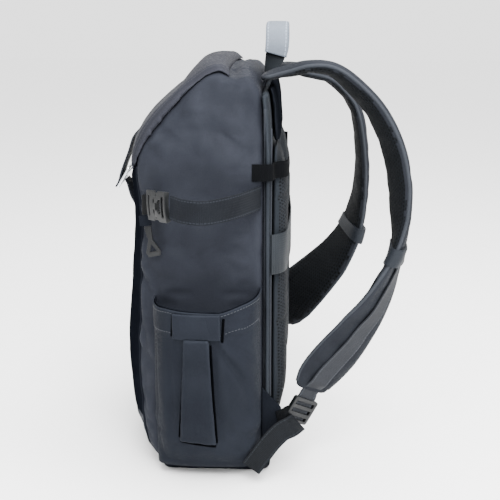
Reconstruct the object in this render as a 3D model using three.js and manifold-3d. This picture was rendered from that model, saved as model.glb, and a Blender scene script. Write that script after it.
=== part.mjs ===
import * as THREE from 'three';
import { mergeVertices } from 'three/addons/utils/BufferGeometryUtils.js';
import Module from 'manifold-3d';

// Camera backpack. Millimetres, +Z up, -Y is the outer face, +Y the wearer's side, +X the wearer's right.
// The origin is the centre of the flat underside.

const wasm = await Module();
wasm.setup();

// Driving sizes of the bag form
const bodyWidth = 264;
const bodyDepth = 162;
const shellHeight = 443;
const baseThickness = 12;
const clearance = 0.3;
const frontShare = 0.63;
const wallThickness = 5;
const edgeRound = 16;
const sideDome = 5;

// Flap and mouth
const flapThickness = 4.5;
const flapWidthShare = 0.925;
const mouthWidthShare = 0.72;

// Wearer's side
const panelThickness = 8;
const padThickness = 15;
const padWidth = 92;
const padSpacing = 66;
const yokeWidth = 176;
const trolleyHeight = 44;
const bandWidth = 18;
const webbingThickness = 1.6;

// Side pocket
const pocketReach = 62;
const pocketWall = 2;
const hemHeight = 207;
const crossbarWidth = 49;
const crossbarHeight = 27;
const sleeveHeight = 122;

// Side strap
const strapHeight = 316;
const strapWidth = 25;
const strapReach = 65;
const buckleLength = 35;
const buckleHeight = 31;
const buckleThickness = 8;

// Shoulder straps and handle
const shoulderReach = 146;
const shoulderHeight = shellHeight + 3;
const shoulderWidth = 60;
const shoulderThickness = 13;
const adjusterWebbing = 25;
const handleRise = shellHeight + 43;
const handleSpan = 33;
const gripWidth = 25;
const gripThickness = 4;

const halfWidth = bodyWidth / 2;
const shellBottom = baseThickness + clearance;
const frontY = -frontShare * bodyDepth;
const backY = frontY + bodyDepth;
const panelFace = backY + clearance + panelThickness;
const farOut = 2 * shellHeight;

const X = new THREE.Vector3(1, 0, 0);
const Y = new THREE.Vector3(0, 1, 0);
const Z = new THREE.Vector3(0, 0, 1);
const at = (x, y, z) => new THREE.Vector3(x, y, z);

// Side outline of the shell. Depth and height are shares of bodyDepth and shellHeight,
// given for the middle of the bag and for its side; round is the share of edgeRound.
const outlineColumns = ['midDepth', 'midHeight', 'sideDepth', 'sideHeight', 'round'];
const outlineRows = [
  [0.61, 0, 0.61, 0, 0.3],
  [0.24, 0, 0.35, 0, 0.3],
  [0.161, 0.008, 0.272, 0.008, 0.6],
  [0.099, 0.04, 0.222, 0.04, 1],
  [0.056, 0.09, 0.198, 0.094, 1],
  [0.031, 0.164, 0.188, 0.164, 1],
  [0.025, 0.254, 0.185, 0.254, 1],
  [0.034, 0.367, 0.191, 0.367, 1],
  [0.056, 0.476, 0.207, 0.476, 1],
  [0.087, 0.564, 0.216, 0.564, 1],
  [0.099, 0.638, 0.204, 0.638, 1],
  [0.09, 0.706, 0.185, 0.701, 1],
  [0.09, 0.755, 0.182, 0.753, 1],
  [0.133, 0.801, 0.216, 0.794, 1],
  [0.238, 0.853, 0.302, 0.839, 1],
  [0.356, 0.896, 0.407, 0.886, 1],
  [0.46, 0.926, 0.494, 0.923, 0.9],
  [0.519, 0.957, 0.568, 0.945, 0.7],
  [0.593, 0.988, 0.654, 0.965, 0.5],
  [0.679, 0.99, 0.735, 0.974, 0.4],
  [0.735, 0.972, 0.784, 0.965, 0.35],
  [0.765, 0.959, 0.809, 0.961, 0.35],
  [0.796, 0.972, 0.84, 0.952, 0.35],
  [0.846, 0.983, 0.889, 0.965, 0.35],
  [0.901, 0.972, 0.938, 0.955, 0.4],
  [0.957, 0.942, 0.975, 0.935, 0.4],
  [0.988, 0.9, 0.994, 0.897, 0.3],
  [1, 0.812, 1, 0.812, 0.25],
  [1, 0.65, 1, 0.65, 0.25],
  [1, 0.424, 1, 0.424, 0.25],
  [1, 0.198, 1, 0.198, 0.25],
  [1, 0.063, 1, 0.063, 0.25],
  [0.994, 0.022, 0.994, 0.022, 0.25],
  [0.963, 0.004, 0.963, 0.004, 0.3],
  [0.907, 0, 0.907, 0, 0.3],
];

function readTable(columns, rows) {
  return rows.map((row) => Object.fromEntries(columns.map((column, k) => [column, row[k]])));
}

const outline = readTable(outlineColumns, outlineRows);

function mix(a, b, t) {
  return a + (b - a) * t;
}

function lookUp(rows, key, column, value) {
  const last = rows.length - 1;
  if (value <= rows[0][key]) {
    return rows[0][column];
  }
  for (let k = 0; k < last; k += 1) {
    if (value <= rows[k + 1][key]) {
      const t = (value - rows[k][key]) / (rows[k + 1][key] - rows[k][key]);
      return mix(rows[k][column], rows[k + 1][column], t);
    }
  }
  return rows[last][column];
}

// Closed bodies from rings, and their joining and cutting

function capTriangles(ring) {
  const normal = at(0, 0, 0);
  ring.forEach((p, k) => {
    const q = ring[(k + 1) % ring.length];
    normal.add(at((p.y - q.y) * (p.z + q.z), (p.z - q.z) * (p.x + q.x), (p.x - q.x) * (p.y + q.y)));
  });
  normal.normalize();
  const first = Math.abs(normal.x) < 0.7 ? X.clone().cross(normal) : Y.clone().cross(normal);
  first.normalize();
  const second = normal.clone().cross(first);
  const flat = ring.map((p) => new THREE.Vector2(p.dot(first), p.dot(second)));
  return THREE.ShapeUtils.triangulateShape(flat, []);
}

function loft(rings, fanned = false) {
  const count = rings[0].length;
  const points = rings.flat();
  const index = [];
  for (let k = 0; k < rings.length - 1; k += 1) {
    for (let j = 0; j < count; j += 1) {
      const a = k * count + j;
      const b = k * count + ((j + 1) % count);
      index.push(a, b, b + count, a, b + count, a + count);
    }
  }
  const shift = (rings.length - 1) * count;
  if (fanned) {
    const centres = [rings[0], rings[rings.length - 1]].map(
      (ring) => ring.reduce((sum, p) => sum.add(p), at(0, 0, 0)).multiplyScalar(1 / count),
    );
    const first = points.push(...centres) - 2;
    for (let j = 0; j < count; j += 1) {
      const next = (j + 1) % count;
      index.push(first, next, j, first + 1, j + shift, next + shift);
    }
    return outward(points, index);
  }
  capTriangles(rings[0]).forEach(([a, b, c]) => index.push(a, c, b));
  capTriangles(rings[rings.length - 1]).forEach(([a, b, c]) => index.push(a + shift, b + shift, c + shift));
  return outward(points, index);
}

function outward(points, index) {
  let volume = 0;
  for (let k = 0; k < index.length; k += 3) {
    const [a, b, c] = [points[index[k]], points[index[k + 1]], points[index[k + 2]]];
    volume += a.dot(b.clone().cross(c));
  }
  if (volume < 0) {
    for (let k = 0; k < index.length; k += 3) {
      [index[k + 1], index[k + 2]] = [index[k + 2], index[k + 1]];
    }
  }
  const geometry = new THREE.BufferGeometry();
  geometry.setAttribute('position', new THREE.Float32BufferAttribute(points.flatMap((p) => [p.x, p.y, p.z]), 3));
  geometry.setIndex(index);
  return geometry;
}

function toSolid(geometry) {
  const bare = geometry.clone();
  bare.deleteAttribute('normal');
  bare.deleteAttribute('uv');
  const merged = mergeVertices(bare, 1e-4);
  return new wasm.Manifold(new wasm.Mesh({
    numProp: 3,
    vertProperties: new Float32Array(merged.attributes.position.array),
    triVerts: new Uint32Array(merged.index.array),
  }));
}

function toGeometry(solid) {
  const mesh = solid.getMesh();
  const geometry = new THREE.BufferGeometry();
  geometry.setAttribute('position', new THREE.BufferAttribute(new Float32Array(mesh.vertProperties), 3));
  geometry.setIndex(new THREE.BufferAttribute(new Uint32Array(mesh.triVerts), 1));
  return geometry;
}

function mirrored(geometry) {
  const copy = geometry.clone().scale(-1, 1, 1);
  const index = Array.from(copy.index.array);
  for (let k = 0; k < index.length; k += 3) {
    [index[k + 1], index[k + 2]] = [index[k + 2], index[k + 1]];
  }
  copy.setIndex(index);
  return copy;
}

function block(low, high) {
  const size = high.clone().sub(low);
  const middle = high.clone().add(low).multiplyScalar(0.5);
  return toSolid(new THREE.BoxGeometry(size.x, size.y, size.z).translate(middle.x, middle.y, middle.z));
}

// Bag form: one surface, from which the shell, the flap and the mouth are taken

const curves = new Map();

function sideShare(x) {
  return Math.min(1, Math.abs(x) / halfWidth);
}

function outlineCurve(x) {
  const key = sideShare(x).toFixed(5);
  if (!curves.has(key)) {
    const blend = sideShare(x) ** 2.4;
    const points = outline.map((row) => {
      const depth = mix(row.midDepth, row.sideDepth, blend);
      const height = mix(row.midHeight, row.sideHeight, blend);
      return at(0, frontY + depth * bodyDepth, shellBottom + height * shellHeight);
    });
    curves.set(key, new THREE.CatmullRomCurve3(points, true, 'centripetal'));
  }
  return curves.get(key);
}

function roundAt(place) {
  const count = outline.length;
  const position = ((place % count) + count) % count;
  const row = Math.floor(position);
  return mix(outline[row].round, outline[(row + 1) % count].round, position - row);
}

function surfacePoint(place, x, offset) {
  const radius = Math.max(3, edgeRound + offset);
  const inner = halfWidth + offset - radius;
  const over = Math.min(1, Math.max(0, (Math.abs(x) - inner) / radius));
  const inset = radius * roundAt(place) * (1 - Math.sqrt(1 - over * over));
  const curve = outlineCurve(x);
  const t = (((place / outline.length) % 1) + 1) % 1;
  const step = 0.002;
  const ahead = curve.getPoint((t + step) % 1);
  const behind = curve.getPoint((t - step + 1) % 1);
  const along = ahead.sub(behind).normalize();
  const point = curve.getPoint(t);
  return at(x, point.y - along.z * (offset - inset), point.z + along.y * (offset - inset));
}

function bagForm(offset, perRow = 1.5) {
  const count = Math.round(outline.length * perRow);
  const places = Array.from({ length: count }, (_, k) => (k / count) * outline.length);
  const half = halfWidth + offset;
  const radius = Math.max(3, edgeRound + offset);
  const inner = half - radius;
  const marks = [0, inner * 0.38, inner * 0.72, inner, inner + radius * 0.5, inner + radius * 0.82, half];
  const right = marks.map((x) => places.map((place) => surfacePoint(place, x, offset)));
  const rim = right[right.length - 1];
  const middle = rim.reduce((sum, p) => sum.add(p), at(0, 0, 0)).multiplyScalar(1 / count);
  [[0.8, 0.5], [0.45, 0.88]].forEach(([scale, rise]) => {
    right.push(rim.map((p) => p.clone().sub(middle).multiplyScalar(scale).add(middle).add(at(sideDome * rise, 0, 0))));
  });
  const left = right.slice(1).reverse().map((ring) => ring.map((p) => at(-p.x, p.y, p.z)));
  return toSolid(loft([...left, ...right], true));
}

function bagPatch(from, to, steps, halfAt, low, high, columns) {
  const rings = [];
  for (let k = 0; k <= steps; k += 1) {
    const place = mix(from, to, k / steps);
    const half = halfAt(k / steps);
    const xs = Array.from({ length: columns + 1 }, (_, j) => mix(-half, half, j / columns));
    const upper = xs.map((x) => surfacePoint(place, x, high(k / steps, x / half)));
    const lower = xs.map((x) => surfacePoint(place, x, low));
    rings.push([...upper, ...lower.reverse()]);
  }
  return loft(rings);
}

// Straps: a flat or padded section carried along a smooth path

const flatSection = [[-0.5, -0.5], [0.5, -0.5], [0.5, 0.5], [-0.5, 0.5]];
const padSection = [
  [-0.5, -0.2], [-0.44, -0.5], [0, -0.5], [0.44, -0.5], [0.5, -0.2],
  [0.5, 0.2], [0.44, 0.5], [0, 0.5], [-0.44, 0.5], [-0.5, 0.2],
];
const crownSection = [
  [-0.5, -0.5], [0.5, -0.5], [0.5, -0.1], [0.4, 0.28], [0.18, 0.48], [-0.18, 0.48], [-0.4, 0.28], [-0.5, -0.1],
];

function rail(points, across, steps, options = {}) {
  const curve = new THREE.CatmullRomCurve3(points, false, 'centripetal');
  const from = options.from ?? 0;
  const to = options.to ?? 1;
  const stations = [];
  for (let k = 0; k <= steps; k += 1) {
    const share = mix(from, to, k / steps);
    const place = curve.getPointAt(share);
    const along = curve.getTangentAt(share);
    const side = (typeof across === 'function' ? across(share) : across).clone();
    side.addScaledVector(along, -side.dot(along)).normalize();
    const out = side.clone().cross(along).normalize();
    const twist = options.twist ? options.twist(share) : 0;
    stations.push({
      place,
      along,
      share,
      side: side.clone().multiplyScalar(Math.cos(twist)).addScaledVector(out, -Math.sin(twist)),
      out: out.clone().multiplyScalar(Math.cos(twist)).addScaledVector(side, Math.sin(twist)),
    });
  }
  return stations;
}

function ribbon(stations, section, width, thickness, lift = 0) {
  const value = (size, station) => (typeof size === 'function' ? size(station.share) : size);
  const rings = stations.map((station) => section.map(([a, b]) => station.place.clone()
    .addScaledVector(station.side, a * value(width, station))
    .addScaledVector(station.out, b * value(thickness, station) + value(lift, station))));
  return loft(rings);
}

// Plates: an outline drawn in a plane, with holes, given a thickness

function roundedOutline(width, height, radius) {
  const shape = new THREE.Shape();
  const [w, h] = [width / 2, height / 2];
  shape.moveTo(-w + radius, -h);
  shape.lineTo(w - radius, -h);
  shape.quadraticCurveTo(w, -h, w, -h + radius);
  shape.lineTo(w, h - radius);
  shape.quadraticCurveTo(w, h, w - radius, h);
  shape.lineTo(-w + radius, h);
  shape.quadraticCurveTo(-w, h, -w, h - radius);
  shape.lineTo(-w, -h + radius);
  shape.quadraticCurveTo(-w, -h, -w + radius, -h);
  return shape;
}

function slot(width, height, cx, cy) {
  const [w, h] = [width / 2, height / 2];
  return new THREE.Path([
    new THREE.Vector2(cx - w, cy - h),
    new THREE.Vector2(cx - w, cy + h),
    new THREE.Vector2(cx + w, cy + h),
    new THREE.Vector2(cx + w, cy - h),
  ]);
}

function plate(shape, thickness, centre, first, second) {
  const normal = first.clone().cross(second).normalize();
  const geometry = new THREE.ExtrudeGeometry(shape, { depth: thickness, bevelEnabled: false, curveSegments: 4 });
  geometry.translate(0, 0, -thickness / 2);
  const matrix = new THREE.Matrix4().makeBasis(first.clone().normalize(), second.clone().normalize(), normal);
  return geometry.applyMatrix4(matrix.setPosition(centre));
}

// Materials

function material(colour, roughness, metalness = 0) {
  return new THREE.MeshStandardMaterial({ color: colour, roughness, metalness });
}

const bagCloth = () => material(0x4a4a55, 0.85);
const pocketCloth = () => material(0x45454f, 0.85);
const darkCloth = () => material(0x26262c, 0.9);
const spacerMesh = () => material(0x18181c, 0.95);
const webbing = () => material(0x4e525a, 0.75);
const blackWebbing = () => material(0x141418, 0.8);
const gripCloth = () => material(0x5d6878, 0.55);
const mouldedPlastic = () => material(0x3c4148, 0.5);
const brightMetal = () => material(0xc4c8cc, 0.3, 1);

const group = new THREE.Group();
group.name = 'camera_backpack';

function addNode(name, geometry, finish) {
  const mesh = new THREE.Mesh(geometry, finish);
  mesh.name = name;
  group.add(mesh);
}

// Shell, flap and base

const bagOuter = bagForm(0);
const bagSeat = bagForm(clearance);

function seatOnBag(geometry) {
  return toGeometry(toSolid(geometry).subtract(bagSeat));
}

function bodyShell() {
  const inner = bagForm(-wallThickness, 1);
  const mouth = toSolid(bagPatch(
    15.4, 18.4, 6, () => halfWidth * mouthWidthShare, -wallThickness - 4, () => 3, 8,
  ));
  return toGeometry(bagOuter.subtract(inner).subtract(mouth));
}

function flap() {
  const taper = (t) => halfWidth * flapWidthShare * (t < 0.12 ? mix(0.93, 1, Math.sqrt(t / 0.12)) : 1);
  const thickness = (t, across) => {
    const rim = 0.45 + 0.55 * Math.min(1, (1 - Math.abs(across)) / 0.14);
    const ends = 0.5 + 0.5 * Math.min(1, Math.min(t, 1 - t) / 0.05);
    return clearance + flapThickness * Math.min(rim, ends);
  };
  return seatOnBag(bagPatch(11.7, 20.2, 24, taper, -2, thickness, 12));
}

function basePanel() {
  const levels = [[0, 8], [0.12, 3.5], [0.4, 0.8], [1, 0]];
  const low = surfacePoint(1.6, 0, 0).y;
  const side = surfacePoint(1.6, halfWidth, 0).y;
  const rear = panelFace;
  const rings = levels.map(([share, inset]) => {
    const ring = [];
    const half = halfWidth - 4 - inset;
    const corner = 10;
    for (let k = 0; k <= 12; k += 1) {
      const x = mix(-half, half, k / 12);
      const crown = mix(low, side, Math.abs(x / half) ** 2.4);
      ring.push(at(x, crown + inset * 0.8, share * baseThickness));
    }
    ring.push(at(half, rear - inset * 0.3 - corner, share * baseThickness));
    ring.push(at(half - corner * 0.3, rear - inset * 0.3 - corner * 0.3, share * baseThickness));
    ring.push(at(half - corner, rear - inset * 0.3, share * baseThickness));
    ring.push(at(-half + corner, rear - inset * 0.3, share * baseThickness));
    ring.push(at(-half + corner * 0.3, rear - inset * 0.3 - corner * 0.3, share * baseThickness));
    ring.push(at(-half, rear - inset * 0.3 - corner, share * baseThickness));
    return ring;
  });
  return seatOnBag(loft(rings));
}

// Wearer's side

function backFace(height) {
  const rows = [
    { z: 0.063, y: 1 }, { z: 0.812, y: 1 }, { z: 0.902, y: 0.988 }, { z: 0.947, y: 0.957 },
  ];
  return frontY + bodyDepth * lookUp(rows, 'z', 'y', (height - shellBottom) / shellHeight);
}

function backPath(low, high, stand, count) {
  return Array.from({ length: count + 1 }, (_, k) => {
    const height = mix(low, high, k / count);
    return at(0, backFace(height) + stand, height);
  });
}

const panelBottom = shellBottom;
const panelTop = shellBottom + 0.925 * shellHeight;

function backPanel() {
  const path = backPath(panelTop, panelBottom, clearance + panelThickness / 2, 10);
  return seatOnBag(ribbon(rail(path, X, 14), padSection, bodyWidth - 4, panelThickness));
}

function backPad(side) {
  const low = shellBottom + 0.09 * shellHeight;
  const high = shellBottom + 0.797 * shellHeight;
  const path = [at(side * padSpacing, panelFace + clearance, high), at(side * padSpacing, panelFace + clearance, low)];
  const swell = (share) => padThickness * Math.min(1, 0.35 + 5 * Math.min(share, 1 - share));
  return ribbon(rail(path, X, 16), crownSection, padWidth, swell, (share) => swell(share) / 2);
}

function yoke() {
  const low = shellBottom + 0.805 * shellHeight;
  const path = backPath(panelTop + 3, low, 2 * clearance + panelThickness, 6);
  const swell = (share) => mix(5, 7, share);
  return ribbon(rail(path, X, 8), padSection, yokeWidth, swell, (share) => swell(share) / 2 + 0.2);
}

function trolleyBand() {
  const height = shellBottom + 0.54 * shellHeight;
  const rise = padThickness + clearance;
  const stops = [[-0.93, -0.1], [-0.875, 0.44], [-0.78, 0.87], [-0.55, 0.99], [0, 1.12]];
  const all = [...stops, ...stops.slice(0, -1).reverse().map(([x, y]) => [-x, y])];
  const path = all.map(([x, y]) => at(x * halfWidth, panelFace + 1.4 + y * rise, height));
  return ribbon(rail(path, Z.clone().negate(), 24), flatSection, trolleyHeight, webbingThickness);
}

function sideBand() {
  const height = shellBottom + 0.745 * shellHeight;
  const face = halfWidth + 1.9;
  const path = [
    at(face + 0.6, backY - 12, height),
    at(face + 0.3, backY - 4, height),
    at(face, backY + 2, height),
    at(face - 0.6, panelFace - 2.4, height),
    at(face - 4, panelFace + 1.1, height),
    at(face - 10, panelFace + 1.4, height),
    at(padSpacing + padWidth * 0.53, panelFace + padThickness * 0.3, height),
    at(padSpacing + padWidth * 0.47, panelFace + padThickness * 0.82, height),
    at(padSpacing + padWidth * 0.36, panelFace + padThickness * 1.1, height),
    at(padSpacing + padWidth * 0.2, panelFace + padThickness * 1.16, height),
  ];
  return seatOnBag(ribbon(rail(path, Z, 18), flatSection, bandWidth, webbingThickness));
}

// Side pocket: reach is the share of pocketReach at each share of hemHeight

const pocketRows = readTable(['level', 'reach'], [
  [0, 0.2], [0.03, 0.3], [0.12, 0.5], [0.28, 0.68], [0.5, 0.84], [0.75, 0.95], [1, 1], [1.16, 1],
]);
const pocketFrontY = frontY + 0.278 * bodyDepth;
const pocketBackY = backY - 1.5;
const pocketBottom = baseThickness + 1;

function pocketForm(grow) {
  const middle = (pocketFrontY + pocketBackY) / 2;
  const half = (pocketBackY - pocketFrontY) / 2 + grow;
  const rings = pocketRows.map((row) => {
    const z = mix(pocketBottom - Math.min(grow, 1), hemHeight, row.level);
    const reach = row.reach * pocketReach + 6 + grow;
    const ring = [];
    for (let k = 0; k <= 20; k += 1) {
      const angle = (Math.PI * k) / 20;
      const y = middle - half * Math.sign(Math.cos(angle)) * Math.abs(Math.cos(angle)) ** 0.8;
      ring.push(at(halfWidth - 6 + reach * Math.sin(angle) ** 0.62, y, z));
    }
    return ring;
  });
  return toSolid(loft(rings));
}

function aboveHem(shift) {
  const rows = [[-0.1, 0.995], [0.15, 1.01], [0.35, 1.005], [0.65, 1], [0.85, 1.035], [1.1, 1.06]];
  const top = hemHeight * 1.4;
  const ring = rows.map(([along, height]) => [
    mix(pocketFrontY, pocketBackY, along), height * hemHeight + shift,
  ]);
  const first = ring[0][0];
  const last = ring[ring.length - 1][0];
  const outlineAt = (x) => [...ring.map(([y, z]) => at(x, y, z)), at(x, last, top), at(x, first, top)];
  return toSolid(loft([outlineAt(halfWidth - 20), outlineAt(halfWidth + pocketReach + 20)]));
}

function sidePocket() {
  const inner = pocketForm(-pocketWall).subtract(
    block(at(0, -farOut, 0), at(farOut, farOut, pocketBottom + pocketWall)),
  );
  return toGeometry(pocketForm(0).subtract(inner).subtract(aboveHem(0)).subtract(bagSeat));
}

function pocketBinding() {
  const band = pocketForm(-pocketWall - clearance).subtract(pocketForm(-pocketWall - clearance - 1.2));
  const kept = band.subtract(aboveHem(1.5)).intersect(aboveHem(-10));
  const cut = block(at(0, -farOut, 0), at(halfWidth + pocketWall + 7, farOut, farOut));
  return toGeometry(kept.subtract(cut));
}

function onPocket(cutter, thickness) {
  return toGeometry(pocketForm(clearance + thickness).intersect(cutter).subtract(pocketForm(clearance)));
}

const crossbarMiddle = pocketFrontY + 0.44 * (pocketBackY - pocketFrontY);
const crossbarTop = hemHeight - 1;

function pocketCrossbar() {
  const [y, half] = [crossbarMiddle, crossbarWidth / 2];
  return onPocket(block(
    at(halfWidth + 0.3 * pocketReach, y - half, crossbarTop - crossbarHeight),
    at(halfWidth + 1.5 * pocketReach, y + half, crossbarTop),
  ), 1.8);
}

function pocketSleeve() {
  const top = crossbarTop - crossbarHeight - clearance;
  const low = top - sleeveHeight;
  const profile = (x) => [
    at(x, crossbarMiddle - 0.26 * crossbarWidth, top),
    at(x, crossbarMiddle - 0.42 * crossbarWidth, low),
    at(x, crossbarMiddle + 0.36 * crossbarWidth, low - 3),
    at(x, crossbarMiddle + 0.26 * crossbarWidth, top),
  ];
  return onPocket(toSolid(loft([profile(halfWidth + 0.2 * pocketReach), profile(halfWidth + 1.5 * pocketReach)])), 3.6);
}

// Side strap with its buckle. Reach is a share of strapReach, along of the pocket's width, drop of strapWidth.

const strapRows = readTable(['reach', 'along', 'drop'], [
  [-0.01, 0.99, 0], [0.24, 0.93, 0], [0.6, 0.81, 0.04], [0.88, 0.65, 0.1], [1, 0.5, 0.13], [0.95, 0.34, 0.09],
  [0.79, 0.22, 0.02],
]);

function strapPoint(reach, along, height) {
  return at(halfWidth + reach * strapReach, mix(pocketFrontY, pocketBackY, along), height);
}

function tripodStrap() {
  const path = strapRows.map((row) => strapPoint(row.reach, row.along, strapHeight - row.drop * strapWidth));
  return seatOnBag(ribbon(rail(path, Z, 26), flatSection, strapWidth, webbingThickness));
}

const buckleStart = strapPoint(0.76, 0.2, strapHeight - 1);
const buckleEnd = strapPoint(0.33, -0.015, strapHeight - 4);
const buckleAlong = buckleEnd.clone().sub(buckleStart).normalize();

function bucklePoint(share) {
  return buckleStart.clone().addScaledVector(buckleAlong, share * buckleLength);
}

function buckleUp() {
  return Z.clone().addScaledVector(buckleAlong, -Z.dot(buckleAlong)).normalize();
}

function buckleFrame() {
  const length = 0.6 * buckleLength;
  const [w, h] = [length / 2, buckleHeight / 2];
  const shape = new THREE.Shape();
  shape.moveTo(-w, -h * 0.86);
  shape.lineTo(-w * 0.2, -h);
  shape.quadraticCurveTo(w * 0.3, -h * 0.42, w, -h * 0.52);
  shape.lineTo(w, h * 0.52);
  shape.quadraticCurveTo(w * 0.3, h * 0.42, -w * 0.2, h);
  shape.lineTo(-w, h * 0.86);
  shape.lineTo(-w, -h * 0.86);
  shape.holes.push(slot(length * 0.16, buckleHeight * 0.72, -w * 0.62, 0));
  return plate(shape, buckleThickness, bucklePoint(0.3), buckleAlong, buckleUp());
}

function buckleTongue() {
  const length = 0.36 * buckleLength;
  const [w, h] = [length / 2, buckleHeight / 2];
  const shape = new THREE.Shape();
  shape.moveTo(-w, -h * 0.5);
  shape.quadraticCurveTo(-w * 0.2, -h * 0.5, w * 0.1, -h);
  shape.lineTo(w, -h * 0.92);
  shape.lineTo(w, h * 0.92);
  shape.lineTo(w * 0.1, h);
  shape.quadraticCurveTo(-w * 0.2, h * 0.5, -w, h * 0.5);
  shape.lineTo(-w, -h * 0.5);
  shape.holes.push(slot(length * 0.24, buckleHeight * 0.74, w * 0.5, 0));
  return plate(shape, buckleThickness * 0.8, bucklePoint(0.8), buckleAlong, buckleUp());
}

function buckleWebbing() {
  const path = [
    bucklePoint(1.03),
    strapPoint(0.22, -0.05, strapHeight - 6),
    strapPoint(0.1, -0.08, strapHeight - 8),
    strapPoint(-0.07, -0.09, strapHeight - 10),
  ];
  return seatOnBag(ribbon(rail(path, Z, 8), flatSection, strapWidth * 0.84, webbingThickness));
}

const glideHeight = 33;
const glideTop = strapPoint(0.17, -0.05, strapHeight - 29);

function strapTail() {
  const path = [glideTop.clone().add(at(0, -1, 11)), glideTop.clone()];
  return seatOnBag(ribbon(rail(path, Y, 3), flatSection, strapWidth * 0.5, webbingThickness));
}

function triGlide() {
  const [w, h] = [glideHeight * 0.23, glideHeight / 2];
  const shape = new THREE.Shape();
  shape.moveTo(-w * 0.5, h);
  shape.lineTo(-w * 0.3, h * 0.1);
  shape.lineTo(-w, -h * 0.7);
  shape.lineTo(-w * 0.7, -h);
  shape.lineTo(w * 0.9, -h);
  shape.lineTo(w * 1.1, -h * 0.7);
  shape.lineTo(w * 0.3, h * 0.1);
  shape.lineTo(w * 0.5, h);
  shape.lineTo(-w * 0.5, h);
  shape.holes.push(new THREE.Path([
    new THREE.Vector2(0, -h * 0.2),
    new THREE.Vector2(w * 0.55, -h * 0.68),
    new THREE.Vector2(-w * 0.45, -h * 0.68),
  ]));
  const middle = glideTop.clone().add(at(0, 5, -clearance - h));
  return mergeVertices(plate(shape, 3, middle, Y.clone().add(at(0, 0, 0.2)).normalize(), at(0, -0.2, 1)));
}

// Front closure

function frontPoint(stand, height) {
  let [low, high] = [4, 15];
  for (let k = 0; k < 24; k += 1) {
    const middle = (low + high) / 2;
    if (surfacePoint(middle, 0, 0).z < height) {
      low = middle;
    } else {
      high = middle;
    }
  }
  return at(0, surfacePoint(low, 0, 0).y - stand, height);
}

const flapFace = clearance + flapThickness;
const shellRise = (share) => shellBottom + share * shellHeight;
const hookTop = frontPoint(11, shellRise(0.7126));
const hookLow = frontPoint(27, shellRise(0.6562));
const hookThickness = 2.6;
const tabThickness = 2;
const hookStand = (hookThickness + tabThickness) / 2 + clearance;
const hookAlong = hookLow.clone().sub(hookTop).normalize();
const hookOut = X.clone().cross(hookAlong).normalize().negate();

function closureTab() {
  const low = hookLow.clone().addScaledVector(hookOut, hookStand);
  const path = [
    frontPoint(flapFace + clearance + tabThickness, shellRise(0.8165)),
    frontPoint(flapFace + 6, shellRise(0.7894)),
    frontPoint(flapFace + 7, shellRise(0.7533)),
    low.clone().addScaledVector(hookAlong, -18).addScaledVector(hookOut, 3),
    low.clone().addScaledVector(hookAlong, -6),
    low.clone().addScaledVector(hookAlong, 1),
  ];
  return ribbon(rail(path, X, 14), flatSection, 38, tabThickness);
}

function closureHook() {
  const middle = hookTop.clone().add(hookLow).multiplyScalar(0.5);
  const length = hookTop.distanceTo(hookLow);
  const shape = roundedOutline(46, length, 4);
  shape.holes.push(slot(36, length * 0.2, 0, -length * 0.26));
  shape.holes.push(slot(36, length * 0.2, 0, length * 0.22));
  return plate(shape, hookThickness, middle, X, hookAlong.clone().negate());
}

function closureWebbing() {
  const path = [
    hookLow.clone().addScaledVector(hookAlong, -11).addScaledVector(hookOut, -hookStand),
    hookLow.clone().add(at(0, 12.5, 0)),
    frontPoint(6, shellRise(0.6178)),
    frontPoint(2 * clearance + 3.1, shellRise(0.5795)),
  ];
  const turn = (share) => 0.4 * Math.sin(Math.PI * share) ** 2;
  return ribbon(rail(path, X, 10, { twist: turn }), flatSection, strapWidth, tabThickness);
}

function closurePatch() {
  const path = [frontPoint(1.3, shellRise(0.5862)), frontPoint(1.3, shellRise(0.5501))];
  return seatOnBag(ribbon(rail(path, X, 3), flatSection, 34, 2));
}

// Handle

const handleRows = readTable(['span', 'rise', 'depth'], [
  [0.93, 0.872, 0.972], [0.98, 0.905, 1.012], [1, 0.938, 1.055], [0.99, 0.965, 1.065],
  [0.8, 0.99, 1.065], [0.42, 0.999, 1.065], [0, 1, 1.065],
]);

function handlePath(lift) {
  const half = handleRows.map((row) => at(
    row.span * handleSpan, frontY + row.depth * bodyDepth, row.rise * handleRise + lift,
  ));
  const other = half.slice(0, -1).reverse().map((p) => at(-p.x, p.y, p.z));
  return [...half, ...other];
}

function handleAcross(share) {
  const turn = Math.min(1, Math.max(0, (Math.min(share, 1 - share) - 0.03) / 0.17));
  const angle = (turn * Math.PI) / 2;
  const direction = share < 0.5 ? 1 : -1;
  return at(direction * Math.cos(angle), Math.sin(angle), 0);
}

function handleWebbing() {
  const stations = rail(handlePath(0), handleAcross, 30);
  const flat = ribbon(stations, flatSection, (share) => mix(17, gripWidth - 3, Math.min(1, share * 5, (1 - share) * 5)), 1.8);
  return seatOnBag(flat);
}

function handleGrip() {
  const stations = rail(handlePath(0), handleAcross, 18, { from: 6 / 30, to: 24 / 30 });
  const lift = 0.9 + clearance + gripThickness / 2;
  return ribbon(stations, padSection, gripWidth, gripThickness, (share) => gripSide(stations) * lift);
}

function gripSide(stations) {
  const middle = stations[Math.floor(stations.length / 2)];
  return Math.sign(middle.out.z);
}

// Shoulder straps. Reach is a share of shoulderReach behind the back, height a share of shoulderHeight,
// apart a share of halfWidth and turn the angle by which the outer face looks sideways.

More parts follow.
